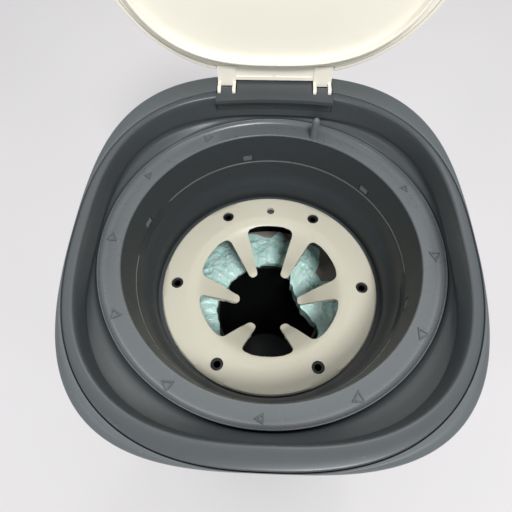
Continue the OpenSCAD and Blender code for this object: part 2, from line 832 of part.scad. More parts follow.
module drive_peg() {
    color(c_ring) rotate([0, 0, peg_angle]) translate([peg_circle_r, 0, ledge_z]) {
        rotate_extrude() intersection() {
            union() {
                translate([0, peg_height - peg_r]) circle(r = peg_r);
                translate([0, -ring_wall]) square([peg_r - 1.65, ring_wall + 1]);
                square([peg_r, peg_height - peg_r]);
            }
            translate([0, -ring_wall]) square([peg_r, peg_height + ring_wall]);
        }
    }
}

carrier_low_z = housing_floor_z + 0.6;
seat_low_z = ring_z + 0.6;
grip_r = 66;
grip_depth = 2.4;
grip_h = 9;
grip_angles = [162, 342];

module carrier_profile() {
    neck_r = skirt_in_r - 0.4;
    shelf_z = skirt_low_z - 0.3;
    polygon([
        [seat_r + 0.8, carrier_low_z], [seat_r + carrier_wall + 0.8, carrier_low_z],
        [seat_r + carrier_wall + 0.8, seat_low_z + seat_h + 2],
        [neck_r + carrier_wall, shelf_z - shelf_t - 4], [collar_out_r, shelf_z - shelf_t],
        [collar_out_r, collar_top], [collar_in_r, collar_top],
        [collar_in_r, shelf_z], [neck_r, shelf_z], [neck_r - 0.6, shelf_z - shelf_t],
        [(seat_r + neck_r) / 2 + 2, shelf_z - 16], [seat_r + 1.5, seat_low_z + seat_h + 4],
        [seat_r, seat_low_z + seat_h], [seat_r, seat_low_z], [seat_r + 0.8, seat_low_z - 0.3]
    ]);
}

module cassette_carrier() {
    color(c_ring) {
        difference() {
            union() {
                rotate_extrude() carrier_profile();
                around(tab_count, tab_start)
                    box([skirt_in_r + 0.4, -tab_half_w, tab_low], [collar_in_r + 1, tab_half_w, tab_high]);
            }
            for (angle = grip_angles) rotate([0, 0, angle])
                translate([skirt_in_r + grip_depth - grip_r, 0, skirt_low_z - grip_h])
                cylinder(r1 = grip_r - grip_depth, r2 = grip_r, h = grip_h);
        }
    }
}

// ---- Lid, drawn closed and then opened about its hinge ----
lid_rear_y = lid_pivot_y - 11;
lid_front_y = seam_shift - seam_b + 0.3;
lid_b = (lid_rear_y - lid_front_y) / 2;
lid_shift = (lid_rear_y + lid_front_y) / 2;
plug_rear_y = lid_pivot_y - 21;
plug_front_y = rim_in_shift - rim_in_b + 4;
plug_a = rim_in_a - 4;
plug_b = (plug_rear_y - plug_front_y) / 2;
plug_shift = (plug_rear_y + plug_front_y) / 2;
plug_drop = 5;
lid_edge_z = rim_z + 0.8;
lid_top_z = rim_z + lid_height;
panel_z = rim_z + 2;
panel_t = 2.4;
gate_high = rim_z + 6.6;
beam_front_y = plug_rear_y + 2;
beam_rear_y = lid_pivot_y - 7;

module opened() {
    translate([0, lid_pivot_y, lid_pivot_z]) rotate([-lid_open, 0, 0])
        translate([0, -lid_pivot_y, -lid_pivot_z]) children();
}

function lid_level(z, inset, rise, n) = level(z, seam_a - inset, lid_b - inset, lid_shift + rise, n);
function plug_level(z, inset) = level(z, plug_a - inset, plug_b - inset, plug_shift, rim_in_n);

module lid_shell() {
    w = lid_wall;
    high = lid_top_z;
    color(c_lid) opened() {
        difference() {
            capped_loft([
                lid_level(high - w, 49, 7, 2.2),
                lid_level(high - w - 3.5, 36, 6, 2.3),
                lid_level(high - w - 11, 20.5, 4, 2.4),
                lid_level(high - w - 25, 8, 1.5, 2.5),
                lid_level(rim_z + 14, w + 0.8, 0, seam_n),
                lid_level(lid_edge_z, w, 0, seam_n),
                lid_level(lid_edge_z, 0, 0, seam_n),
                lid_level(rim_z + 14, 0.4, 0, seam_n),
                lid_level(high - 25, 5, 1.5, 2.5),
                lid_level(high - 11, 16.5, 4, 2.4),
                lid_level(high - 3.5, 32, 6, 2.3),
                lid_level(high, 45, 7, 2.2)
            ]);
            box([-block_half_w - slip, plug_rear_y, rim_z - cut],
                [block_half_w + slip, lid_rear_y + cut, gate_high]);
            translate([0, 0, high - w - cut]) cylinder(r = bush_r, h = w + 2 * cut);
        }
    }
}

module lid_inner() {
    lip = lid_wall + 0.6;
    color(c_lid) opened() {
        difference() {
            capped_loft([
                plug_level(panel_z, 2.5),
                plug_level(rim_z - plug_drop, 2.5),
                plug_level(rim_z - plug_drop, 0),
                plug_level(rim_z + 0.9, 0),
                lid_level(rim_z + 0.9, lip, 0, seam_n),
                lid_level(rim_z + 3, lip, 0, seam_n),
                plug_level(rim_z + 3, 2),
                plug_level(panel_z + panel_t, 2)
            ]);
            box([-block_half_w - slip, beam_front_y - 0.2, rim_z - cut],
                [block_half_w + slip, lid_rear_y + cut, gate_high]);
            translate([0, 0, panel_z - cut]) cylinder(r = bush_r, h = panel_t + 2 * cut);
        }
    }
}

module lid_seal() {
    color(c_seal) opened() {
        ring_loft([
            plug_level(rim_z + 0.3, -0.3),
            plug_level(rim_z + 0.3, -1.4),
            plug_level(rim_z + 0.9, -1.4),
            plug_level(rim_z + 0.9, -0.3)
        ]);
    }
}

frame_low = rim_z + 0.4;
frame_top = rim_z + 4.4;
beam_low = rim_z + 2;
beam_lip = 0.8;
beam_lip_w = 2.6;
web_gap = 2.4;

module lid_hinge_frame() {
    inner = tongue_half_w + slip;
    beam_half_w = fork_x + fork_half_w;
    color(c_lid) opened() {
        difference() {
            union() {
                box([-beam_half_w, beam_front_y, beam_low], [beam_half_w, beam_rear_y, frame_top]);
                box([-fork_x, beam_rear_y - beam_lip_w, beam_low - beam_lip],
                    [fork_x, beam_rear_y, beam_low + 1]);
                box([-beam_lip, beam_front_y, beam_low - beam_lip], [beam_lip, beam_rear_y, beam_low + 1]);
                for (side = [-1, 1]) {
                    box([side * fork_x - fork_half_w, beam_front_y, frame_low],
                        [side * fork_x + fork_half_w, beam_rear_y, frame_top]);
                    translate([side * fork_x, lid_pivot_y, lid_pivot_z])
                        rod_x(prong_r, -fork_half_w, fork_half_w);
                    translate([side * fork_x - fork_half_w, 0, 0]) rotate([90, 0, 90])
                        linear_extrude(2 * fork_half_w) polygon([
                            [beam_rear_y - 1, frame_low], [lid_pivot_y - 5.6, frame_low],
                            [lid_pivot_y - 4, lid_pivot_z - 3], [lid_pivot_y, lid_pivot_z],
                            [lid_pivot_y, lid_pivot_z + prong_r],
                            [lid_pivot_y - 3, frame_low + 1.8], [beam_rear_y - 1, frame_top]
                        ]);
                }
            }
            for (side = [-1, 1]) {
                box([side * fork_x - inner, beam_rear_y, lid_pivot_z - 10],
                    [side * fork_x + inner, beam_rear_y + 30, frame_low]);
                box([side * fork_x - inner, lid_pivot_y - web_gap, lid_pivot_z - 10],
                    [side * fork_x + inner, beam_rear_y + 30, rim_z + 20]);
                translate([side * fork_x, lid_pivot_y, lid_pivot_z])
                    rod_x(lid_pin_r + run_fit, -notch_half_w, notch_half_w);
            }
        }
    }
}

bush_wall = 2.4;
bush_r = spindle_r + run_fit + bush_wall;

module spindle_bushings() {
    color(c_cream) opened() {
        difference() {
            union() {
                translate([0, 0, lid_top_z - lid_wall]) cylinder(r = bush_r, h = lid_wall);
                translate([0, 0, lid_top_z - lid_wall - 1.5]) cylinder(r = bush_r + 3, h = 1.5);
            }
            translate([0, 0, lid_top_z - 10]) cylinder(r = spindle_r + run_fit, h = 12);
        }
        difference() {
            union() {
                translate([0, 0, panel_z]) cylinder(r = bush_r, h = panel_t);
                translate([0, 0, panel_z + panel_t]) cylinder(r = bush_r + 3, h = 1.5);
            }
            translate([0, 0, panel_z - cut]) cylinder(r = spindle_r + run_fit, h = 12);
        }
    }
}

arm_top_z = rim_z - 5.3;
arm_t = 2.7;
arm_angle = 297;
lug_in_r = peg_circle_r - peg_r - 5;
lug_out_r = peg_circle_r - 0.4;
grip_half_w = 7;

module twist_dial() {
    base = lid_top_z + slip;
    color(c_ring) opened() {
        rotate_extrude() polygon([
            [0, base], [dial_r - 1, base], [dial_r, base + 1.5], [dial_r - 1.5, base + 6],
            [dial_r - 5, base + 8], [0, base + 9]
        ]);
        rotate([0, 0, arm_angle]) intersection() {
            translate([-dial_r, -grip_half_w, base + 5]) cube([2 * dial_r, 2 * grip_half_w, dial_h - 5]);
            rotate_extrude() polygon([[0, base], [dial_r - 4, base], [dial_r - 6, base + dial_h - 3],
                [dial_r - 10, base + dial_h], [0, base + dial_h]]);
        }
        translate([0, 0, arm_top_z]) cylinder(r = spindle_r, h = base + 2 - arm_top_z);
    }
}

module drive_arm() {
    low = arm_top_z - arm_t;
    color(c_cream) opened() {
        difference() {
            union() {
                translate([0, 0, low]) cylinder(r = 16, h = arm_t);
                rotate([0, 0, arm_angle]) {
                    box([0, -9, low], [lug_out_r, 9, arm_top_z]);
                    box([lug_in_r, -9, low - 6], [lug_out_r, 9, low + 1]);
                }
            }
            translate([0, 0, low - cut]) cylinder(r = screw_r + 0.1, h = arm_t + 2 * cut);
        }
    }
}

module dial_screw() {
    color(c_steel) opened() translate([0, 0, arm_top_z - arm_t]) mirror([0, 0, 1]) {
        screw(arm_t, 4, 2);
    }
}

tub();
base_ring();
tub_hinge_bracket();
head_hinge_pin();
latch_strike();
cassette_1_body();
cassette_1_cover();
cassette_1_film();
cassette_2_body();
cassette_2_cover();
cassette_2_film();
cassette_3_body();
cassette_3_cover();
cassette_3_film();
head_casing();
head_liner();
head_hinge_leaf();
lid_hinge_block();
lid_hinge_pins();
mechanism_housing();
housing_collar();
housing_screws();
glide_ring();
finger_ring();
finger_ring_screws();
latch_bracket();
latch_button();
latch_spring();
cutter_rail();
cutter_slider();
cutter_blade();
twist_ring();
drive_peg();
cassette_carrier();
lid_shell();
lid_inner();
lid_seal();
lid_hinge_frame();
spindle_bushings();
twist_dial();
drive_arm();
dial_screw();
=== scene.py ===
"""Looks of a nappy bin: a tub, its hinged head with a twisting carrier and a finger ring, and an open lid."""

import math

import bmesh
import bpy
from bpy.props import FloatProperty, FloatVectorProperty, IntProperty, PointerProperty
from mathutils import Matrix, Vector, noise


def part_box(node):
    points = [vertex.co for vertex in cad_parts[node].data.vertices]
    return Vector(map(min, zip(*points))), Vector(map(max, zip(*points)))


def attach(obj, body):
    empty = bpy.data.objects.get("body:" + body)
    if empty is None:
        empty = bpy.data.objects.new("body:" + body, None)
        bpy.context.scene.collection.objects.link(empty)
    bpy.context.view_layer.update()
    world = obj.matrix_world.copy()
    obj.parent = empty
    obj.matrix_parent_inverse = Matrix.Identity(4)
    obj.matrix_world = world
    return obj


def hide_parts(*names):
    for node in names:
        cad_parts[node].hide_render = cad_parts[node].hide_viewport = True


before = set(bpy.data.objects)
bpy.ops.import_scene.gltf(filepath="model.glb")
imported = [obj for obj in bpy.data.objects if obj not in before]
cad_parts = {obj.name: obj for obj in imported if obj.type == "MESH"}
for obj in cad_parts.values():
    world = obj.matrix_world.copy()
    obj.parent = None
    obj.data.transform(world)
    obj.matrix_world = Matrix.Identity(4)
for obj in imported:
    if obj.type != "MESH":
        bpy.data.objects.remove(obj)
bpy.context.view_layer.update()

bl_info = {
    "name": "Nappy Bin Looks",
    "version": (1, 0, 0),
    "blender": (4, 5, 0),
    "location": "3D View > Sidebar > Nappy Bin",
    "description": "Builds the visible pieces, finishes, light and camera of a nappy bin",
    "category": "Object",
}

MM = 0.001

# Heights, half widths and depths that the CAD has, in millimetres.
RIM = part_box("head_liner")[1].z / MM
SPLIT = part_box("head_casing")[0].z / MM
HALF_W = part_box("head_casing")[1].x / MM
FRONT_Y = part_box("head_casing")[0].y / MM
RING_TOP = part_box("finger_ring")[1].z / MM
RING_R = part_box("finger_ring")[1].x / MM
HEAD_SHIFT = 2.5
BACK_Y = 2 * HEAD_SHIFT - FRONT_Y
HALF_D = (BACK_Y - FRONT_Y) / 2
BORE_R = HALF_W - 8.5
LEDGE = RIM - 30
WALL = 2.6

# The lid's hinge, and how far the lid stands open.
PIVOT = Vector((0, BACK_Y - 20, RIM - 4))
LID_TURN = Matrix.Rotation(math.radians(-100), 4, "X")

# The seam at the rim and the inner rim: half width, half depth, shift to the back and squareness.
SEAM = (HALF_W - 1.7, -FRONT_Y - 7.6, -7.1, 2.5)
RIM_IN = (SEAM[0] - 7.8, SEAM[1] - 10.8, -4.9, 2.7)

# The casing's squareness, and what is added to it in the rear half.
SQUARE, BEHIND = 3.1, -0.25
SIDES = 240


# ---- Colour and materials ----

def linear(code):
    """An sRGB hex colour as linear red, green and blue."""
    shares = [int(code[i:i + 2], 16) / 255 for i in (1, 3, 5)]
    return tuple(v / 12.92 if v <= 0.04045 else ((v + 0.055) / 1.055) ** 2.4 for v in shares)


def add(tree, kind, sockets=None, **settings):
    """Adds one node with its settings, its sockets' values and its links."""
    made = tree.nodes.new(kind)
    for name, value in settings.items():
        setattr(made, name, value)
    for name, value in (sockets or {}).items():
        if isinstance(value, bpy.types.NodeSocket):
            tree.links.new(value, made.inputs[name])
        else:
            made.inputs[name].default_value = value
    return made


def rgba(colour, share=1.0):
    """The colour made lighter or darker by a share."""
    return (*[min(1.0, v * share) for v in colour[:3]], 1.0)


def new_material(name):
    """A material with an empty node tree."""
    made = bpy.data.materials.new(name)
    made.use_nodes = True
    made.node_tree.nodes.clear()
    return made, made.node_tree


def moulded(name, colour, roughness, grain_mm, relief_mm, mottle, specks=0.0, shine=0.5):
    """An injection-moulded plastic: a fine spark-eroded grain, slight flow mottling and uneven gloss."""
    made, tree = new_material(name)
    place = add(tree, "ShaderNodeTexCoord").outputs["Object"]
    cloud = add(tree, "ShaderNodeTexNoise", {
        "Vector": place, "Scale": 1 / (45 * MM), "Detail": 4, "Roughness": 0.55})
    grain = add(tree, "ShaderNodeTexNoise", {"Vector": place, "Scale": 1 / (grain_mm * MM), "Detail": 3})
    smear = add(tree, "ShaderNodeTexNoise", {
        "Vector": place, "Scale": 1 / (12 * MM), "Detail": 5, "Roughness": 0.7})
    tone = add(tree, "ShaderNodeMix", {
        "Factor": cloud.outputs["Fac"], 6: rgba(colour, 1 - mottle), 7: rgba(colour, 1 + mottle)},
        data_type="RGBA")
    base = tone.outputs[2]
    if specks:
        dust = add(tree, "ShaderNodeTexNoise", {"Vector": place, "Scale": 1 / (1.6 * MM), "Detail": 1})
        mask = add(tree, "ShaderNodeMapRange", {
            "Value": dust.outputs["Fac"], "From Min": 0.73, "From Max": 0.78, "To Max": specks})
        base = add(tree, "ShaderNodeMix", {
            "Factor": mask.outputs[0], 6: base, 7: rgba(linear("#c9ccca"))}, data_type="RGBA").outputs[2]
    gloss = add(tree, "ShaderNodeMapRange", {
        "Value": smear.outputs["Fac"], "From Min": 0.3, "From Max": 0.7,
        "To Min": roughness - 0.02, "To Max": roughness + 0.03})
    bump = add(tree, "ShaderNodeBump", {
        "Height": grain.outputs["Fac"], "Strength": 0.35, "Distance": relief_mm * MM})
    shader = add(tree, "ShaderNodeBsdfPrincipled", {
        "Base Color": base, "Roughness": gloss.outputs[0], "Normal": bump.outputs[0], "IOR": 1.49,
        "Specular IOR Level": shine})
    add(tree, "ShaderNodeOutputMaterial", {"Surface": shader.outputs[0]})
    return made


def steel(name, colour, roughness):
    """Bright zinc-plated steel: fine drawn lines along the piece and small differences in gloss."""
    made, tree = new_material(name)
    place = add(tree, "ShaderNodeTexCoord").outputs["Object"]
    drawn = add(tree, "ShaderNodeMapping", {"Vector": place, "Scale": (150, 2500, 2500)})
    lines = add(tree, "ShaderNodeTexNoise", {"Vector": drawn.outputs[0], "Scale": 1.0, "Detail": 3})
    gloss = add(tree, "ShaderNodeMapRange", {
        "Value": lines.outputs["Fac"], "To Min": roughness - 0.08, "To Max": roughness + 0.12})
    bump = add(tree, "ShaderNodeBump", {
        "Height": lines.outputs["Fac"], "Strength": 0.2, "Distance": 0.01 * MM})
    shader = add(tree, "ShaderNodeBsdfPrincipled", {
        "Base Color": rgba(colour), "Metallic": 1, "Roughness": gloss.outputs[0], "Normal": bump.outputs[0]})
    add(tree, "ShaderNodeOutputMaterial", {"Surface": shader.outputs[0]})
    return made


def thin_film(name, colour):
    """Blown polyethylene film: painted light and shade, pale on its fold ridges and deeper mint in the
    hollows between them; fine creases and a waxy gloss.
    """
    made, tree = new_material(name)
    place = add(tree, "ShaderNodeTexCoord").outputs["Object"]
    depth = add(tree, "ShaderNodeAttribute", attribute_name="fold")
    web = add(tree, "ShaderNodeTexNoise", {
        "Vector": place, "Scale": 1 / (7 * MM), "Detail": 5, "Roughness": 0.6, "Distortion": 0.8},
        noise_type="RIDGED_MULTIFRACTAL")
    # Painted light and shade: the fold attribute mixes a deeper mint into the hollows and the film's pale
    # mint onto the ridges.
    shade = add(tree, "ShaderNodeMix", {
        "Factor": depth.outputs["Fac"], 6: rgba(linear("#a6e6d3")), 7: rgba(colour, 1.1)}, data_type="RGBA")
    lines = add(tree, "ShaderNodeMapRange", {
        "Value": web.outputs["Fac"], "From Min": 0.6, "From Max": 1.6, "To Max": 0.55})
    tone = add(tree, "ShaderNodeMix", {
        "Factor": lines.outputs[0], 6: shade.outputs[2], 7: rgba(linear("#effcf8"))}, data_type="RGBA")
    bump = add(tree, "ShaderNodeBump", {"Height": web.outputs["Fac"], "Strength": 0.5, "Distance": 0.5 * MM})
    shader = add(tree, "ShaderNodeBsdfPrincipled", {
        "Base Color": tone.outputs[2], "Roughness": 0.3, "Normal": bump.outputs[0], "IOR": 1.51,
        "Subsurface Weight": 0.15, "Subsurface Scale": 0.003})
    add(tree, "ShaderNodeOutputMaterial", {"Surface": shader.outputs[0]})
    return made


def floor_paint(name, colour):
    """Matt painted board under the bin, with a very faint unevenness."""
    made, tree = new_material(name)
    place = add(tree, "ShaderNodeTexCoord").outputs["Object"]
    cloud = add(tree, "ShaderNodeTexNoise", {"Vector": place, "Scale": 1.4, "Detail": 2})
    tone = add(tree, "ShaderNodeMix", {
        "Factor": cloud.outputs["Fac"], 6: rgba(colour, 0.97), 7: rgba(colour, 1.03)}, data_type="RGBA")
    shader = add(tree, "ShaderNodeBsdfPrincipled", {"Base Color": tone.outputs[2], "Roughness": 0.85})
    add(tree, "ShaderNodeOutputMaterial", {"Surface": shader.outputs[0]})
    return made


def finishes(looks):
    """Each finish by name, with the function that makes it and what that is given.

    A moulded one has its colour, roughness, the grain's size and relief in millimetres, the mottling, the
    specks of dust and the strength of its reflection.
    """
    return {
        # Casing and tub: an even grain that spreads the light to a soft sheen, with a little dust.
        "satin_polypropylene": (moulded, looks.shell, 0.40, 1.1, 0.05, 0.05, 0.12),
        # Liner: smoother than the casing, so it mirrors the ceiling faintly; its grey is painted darker than
        # the casing's for the shade inside the well.
        "smooth_polypropylene": (moulded, looks.liner, 0.33, 1.6, 0.008, 0.03, 0.08),
        # Ledge of the twist ring: the glossiest of the grey mouldings, painted paler than the walls for the
        # light on faces that turn up; on the skirt's foot and the carrier's lip it paints light lines.
        "ring_polypropylene": (moulded, looks.ring, 0.28, 1.8, 0.006, 0.03, 0.08),
        # Skirt and carrier: dull, and painted dark for the shade on the deep walls of the well, so that the
        # walls stay quiet.
        "carrier_polypropylene": (moulded, looks.carrier, 0.46, 2.2, 0.004, 0.03, 0.08, 0.22),
        # Peg and button: polished, with narrow highlights.
        "polished_acetal": (moulded, looks.peg, 0.13, 2.4, 0.004, 0.04),
        # Finger ring: a warm pale plastic with a soft gloss.
        "cream_polypropylene": (moulded, looks.cream, 0.36, 1.4, 0.012, 0.025),
        # Lid: the palest and most even moulding.
        "lid_polypropylene": (moulded, looks.lid, 0.38, 1.2, 0.02, 0.02),
        # Cassette bodies and the latch's strike: nearly black, lightly grained.
        "black_polypropylene": (moulded, linear("#141516"), 0.42, 1.2, 0.03, 0.08),
        # Cassette covers: a warm mid grey with a faint gloss.
        "cassette_polystyrene": (moulded, linear("#a8a299"), 0.34, 1.4, 0.012, 0.05),
        # Base ring and lid seal: soft and quite dull.
        "thermoplastic_rubber": (moulded, linear("#8f9698"), 0.7, 0.8, 0.05, 0.06),
        # Screws of the finger ring: black with a dull shine, darker in the socket.
        "blackened_steel": (moulded, linear("#191b1c"), 0.42, 0.9, 0.02, 0.1, 0.0, 0.4),
        # Pins, springs, hidden screws and the blade: bright drawn metal.
        "zinc_plated_steel": (steel, linear("#b8bcc0"), 0.3),
        # Film: crisp pale creases, with painted light and shade on its folds: paler on the ridges, deeper
        # mint in the hollows.
        "mint_polyethylene_film": (thin_film, looks.film),
    }


def finish_of(name):
    """The finish with that name, made once from the panel's colours."""
    found = bpy.data.materials.get(name)
    if found is None:
        make, *values = finishes(bpy.context.scene.nappy_bin_finishes)[name]
        found = make(name, *values)
    return found


# ---- Mesh helpers, all in millimetres ----

def outline(level):
    """A lofted shell's level: (z, half width, half depth, shift, squareness, what is added to it behind)."""
    z, a, b, shift, square = level[:5]
    behind = level[5] if len(level) > 5 else 0
    points = []
    for i in range(SIDES):
        t = 2 * math.pi * i / SIDES
        n = square + behind if i < SIDES / 2 else square
        r = (abs(math.cos(t) / a) ** n + abs(math.sin(t) / b) ** n) ** (-1 / n)
        points.append(Vector((r * math.cos(t), r * math.sin(t) + shift, z)))
    return points


def smooth(keys, steps=4):
    """Rows of numbers on a smooth curve through the given rows, spaced by how far apart those are."""
    if len(keys) < 3:
        return [tuple(k) for k in keys]
    ends = [0.0]
    for p, q in zip(keys, keys[1:]):
        ends.append(ends[-1] + max(1e-6, math.dist(p[:3], q[:3])) ** 0.5)
    rows = []
    last = len(keys) - 1
    for i in range(last):
        t0, t1, t2, t3 = (ends[max(0, min(last, j))] for j in (i - 1, i, i + 1, i + 2))
        p0, p1, p2, p3 = (keys[max(0, min(last, j))] for j in (i - 1, i, i + 1, i + 2))
        for s in range(steps):
            u = s / steps
            row = []
            for a, b, c, d in zip(p0, p1, p2, p3):
                m1 = (c - a) / (t2 - t0) * (t2 - t1)
                m2 = (d - b) / (t3 - t1) * (t2 - t1)
                row.append((2 * u ** 3 - 3 * u ** 2 + 1) * b + (u ** 3 - 2 * u ** 2 + u) * m1
                           + (3 * u ** 2 - 2 * u ** 3) * c + (u ** 3 - u ** 2) * m2)
            rows.append(tuple(row))
    rows.append(tuple(keys[-1]))
    return rows


def build(name, points, faces):
    """A new object from points in millimetres and faces, with its faces turned outwards."""
    mesh = bpy.data.meshes.new(name)
    mesh.from_pydata([Vector(p) * MM for p in points], [], faces)
    work = bmesh.new()
    work.from_mesh(mesh)
    bmesh.ops.remove_doubles(work, verts=work.verts, dist=1e-6)
    bmesh.ops.dissolve_degenerate(work, dist=1e-7, edges=work.edges)
    bmesh.ops.recalc_face_normals(work, faces=work.faces)
    work.to_mesh(mesh)
    work.free()
    made = bpy.data.objects.new(name, mesh)
    bpy.context.scene.collection.objects.link(made)
    return made


def skin(rings, closed, capped=False):
    """The points and faces of a skin over rings of equal count."""
    count = len(rings[0])
    points = [p for ring in rings for p in ring]
    faces = []
    for i in range(len(rings) if closed else len(rings) - 1):
        k = (i + 1) % len(rings)
        faces += [(i * count + j, i * count + (j + 1) % count, k * count + (j + 1) % count, k * count + j)
                  for j in range(count)]
    if capped:
        faces += [tuple(range(count)), tuple((len(rings) - 1) * count + j for j in range(count))]
    return points, faces


def rows_of(profile):
    """The rows of a profile: a tuple is a corner that a straight run leads to, a list is a smooth run."""
    rows, last = [], profile[0]
    for item in profile[1:]:
        run = [last, *item] if isinstance(item, list) else [last, item]
        rows += smooth(run)
        last = run[-1]
    return rows


def loft(name, profile, capped=False):
    """A shell through levels: a closed ring of wall, or one skin with a cap at each end."""
    return build(name, *skin([outline(level) for level in rows_of(profile)], not capped, capped))


def lathe(name, profile, count):
    """A turned piece from a profile of (radius, height)."""
    turns = [2 * math.pi * i / count for i in range(count)]
    rings = [[Vector((r * math.cos(t), r * math.sin(t), z)) for t in turns] for r, z in rows_of(profile)]
    return build(name, *skin(rings, True))


def rod(name, radius, low, high, count=32):
    """A plain round bar to cut with."""
    return lathe(name, [(0, low), (radius, low), (radius, high), (0, high)], count)


def block(name, low, high):
    """A box to cut with or to round off."""
    corners = [(x, y, z) for x in (low[0], high[0]) for y in (low[1], high[1]) for z in (low[2], high[2])]
    sides = [(0, 1, 3, 2), (4, 6, 7, 5), (0, 4, 5, 1), (2, 3, 7, 6), (0, 2, 6, 4), (1, 5, 7, 3)]
    return build(name, corners, sides)


def applied(obj):
    """The object with its modifiers made part of its mesh."""
    graph = bpy.context.evaluated_depsgraph_get()
    mesh = bpy.data.meshes.new_from_object(obj.evaluated_get(graph))
    obj.modifiers.clear()
    old = obj.data
    obj.data = mesh
    mesh.name = obj.name
    if old.users == 0:
        bpy.data.meshes.remove(old)
    return obj


def cut(obj, *cutters, operation="DIFFERENCE"):
    """Cuts away, or joins on, other objects, which are then removed."""
    for cutter in cutters:
        step = obj.modifiers.new("cut", "BOOLEAN")
        step.operation = operation
        step.solver = "EXACT"
        step.object = cutter
    bpy.context.view_layer.update()
    applied(obj)
    for cutter in cutters:
        mesh = cutter.data
        bpy.data.objects.remove(cutter)
        bpy.data.meshes.remove(mesh)


def rounded(obj, width_mm, segments, angle=35):
    """Rounds the object's sharp edges."""
    step = obj.modifiers.new("round", "BEVEL")
    step.width = width_mm * MM
    step.segments = segments
    step.limit_method = "ANGLE"
    step.angle_limit = math.radians(angle)
    bpy.context.view_layer.update()
    return applied(obj)


def move(obj, matrix):
    """Moves the object's mesh, and leaves the object at the origin."""
    obj.data.transform(matrix)
    return obj


def shifted(obj, x, y, z=0):
    """Moves the object's mesh by millimetres."""
    return move(obj, Matrix.Translation((x * MM, y * MM, z * MM)))


def partly(obj, material, chosen):
    """Gives the faces that chosen(height, radius) picks a second finish."""
    obj.data.materials.append(finish_of(material))
    for face in obj.data.polygons:
        if chosen(face.center.z / MM, face.center.xy.length / MM):
            face.material_index = 1


def opened(obj):
    """Turns a piece that was drawn on the closed lid to where the open lid is."""
    pivot = PIVOT * MM
    return move(obj, Matrix.Translation(pivot) @ LID_TURN @ Matrix.Translation(-pivot))


def dress(obj, body, material, nodes=(), angle=35):
    """Gives a finished piece its smooth faces, finish and body, and hides the CAD nodes it stands for."""
    obj.data.materials.clear()
    obj.data.materials.append(finish_of(material))
    for face in obj.data.polygons:
        face.use_smooth = True
    obj.data.set_sharp_from_angle(angle=math.radians(angle))
    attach(obj, body)
    if nodes:
        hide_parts(*nodes)


def paint(material, *nodes):
    """Gives carried-over CAD nodes their finish."""
    for name in nodes:
        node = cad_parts[name]
        node.data.materials.clear()
        node.data.materials.append(finish_of(material))


# ---- Geometry Nodes: copies of a piece round a circle ----

def circle_tree():
    """A tree that sets copies of an item round a circle.

    Places count from 0. Only each Every-th place is filled, or with Others only the places between those,
    and none before First.
    """
    tree = bpy.data.node_groups.new("copies_round_a_circle", "GeometryNodeTree")
    for name, kind in (("Geometry", "Geometry"), ("Item", "Object"), ("Count", "Int"), ("Radius", "Float"),
                       ("Height", "Float"), ("Start", "Float"), ("Every", "Int"), ("Others", "Bool"),
                       ("First", "Int"), ("Finish", "Material")):
        tree.interface.new_socket(name, in_out="INPUT", socket_type=f"NodeSocket{kind}")
    tree.interface.new_socket("Geometry", in_out="OUTPUT", socket_type="NodeSocketGeometry")
    given = add(tree, "NodeGroupInput").outputs

    place = add(tree, "GeometryNodeInputIndex").outputs[0]
    share = add(tree, "ShaderNodeMath", {0: place, 1: given["Count"]}, operation="DIVIDE").outputs[0]
    turn = add(tree, "ShaderNodeMath", {0: share, 1: 2 * math.pi, 2: given["Start"]},
               operation="MULTIPLY_ADD").outputs[0]
    arm = add(tree, "ShaderNodeCombineXYZ", {"X": given["Radius"], "Z": given["Height"]}).outputs[0]
    spot = add(tree, "ShaderNodeVectorRotate", {"Vector": arm, "Angle": turn},
               rotation_type="Z_AXIS").outputs[0]
    points = add(tree, "GeometryNodePoints", {"Count": given["Count"], "Position": spot}).outputs[0]

    # The compare nodes' whole-number inputs are their third and fourth.
    rest = add(tree, "ShaderNodeMath", {0: place, 1: given["Every"]}, operation="MODULO").outputs[0]
    between = add(tree, "FunctionNodeCompare", {2: rest, 3: 0}, data_type="INT",
                  operation="NOT_EQUAL").outputs[0]
    fits = add(tree, "FunctionNodeBooleanMath", {0: between, 1: given["Others"]}, operation="XNOR").outputs[0]
    late = add(tree, "FunctionNodeCompare", {2: place, 3: given["First"]}, data_type="INT",
               operation="GREATER_EQUAL").outputs[0]
    keep = add(tree, "FunctionNodeBooleanMath", {0: fits, 1: late}, operation="AND").outputs[0]

    item = add(tree, "GeometryNodeObjectInfo", {"Object": given["Item"]}).outputs["Geometry"]
    facing = add(tree, "ShaderNodeCombineXYZ", {"Z": turn}).outputs[0]
    copies = add(tree, "GeometryNodeInstanceOnPoints", {
        "Points": points, "Instance": item, "Selection": keep, "Rotation": facing}).outputs[0]
    real = add(tree, "GeometryNodeRealizeInstances", {0: copies}).outputs[0]
    done = add(tree, "GeometryNodeSetMaterial", {"Geometry": real, "Material": given["Finish"]}).outputs[0]
    add(tree, "NodeGroupOutput", {0: done})
    return tree


def round_circle(name, item, count, radius, height, start, material="ring_polypropylene", every=1,
                 others=False, first=0):
    """Copies of an item round a circle as one plain mesh. Lengths are in millimetres, start in degrees."""
    tree = bpy.data.node_groups.get("copies_round_a_circle") or circle_tree()
    made = bpy.data.objects.new(name, bpy.data.meshes.new(name))
    bpy.context.scene.collection.objects.link(made)
    step = made.modifiers.new("copies", "NODES")
    step.node_group = tree
    keys = {s.name: s.identifier for s in tree.interface.items_tree if s.in_out == "INPUT"}
    for key, value in (("Item", item), ("Count", count), ("Radius", radius * MM), ("Height", height * MM),
                       ("Start", math.radians(start)), ("Every", every), ("Others", others), ("First", first),
                       ("Finish", finish_of(material))):
        step[keys[key]] = value
    bpy.context.view_layer.update()
    applied(made)
    mesh = item.data
    bpy.data.objects.remove(item)
    bpy.data.meshes.remove(mesh)
    return made


# ---- Settings ----

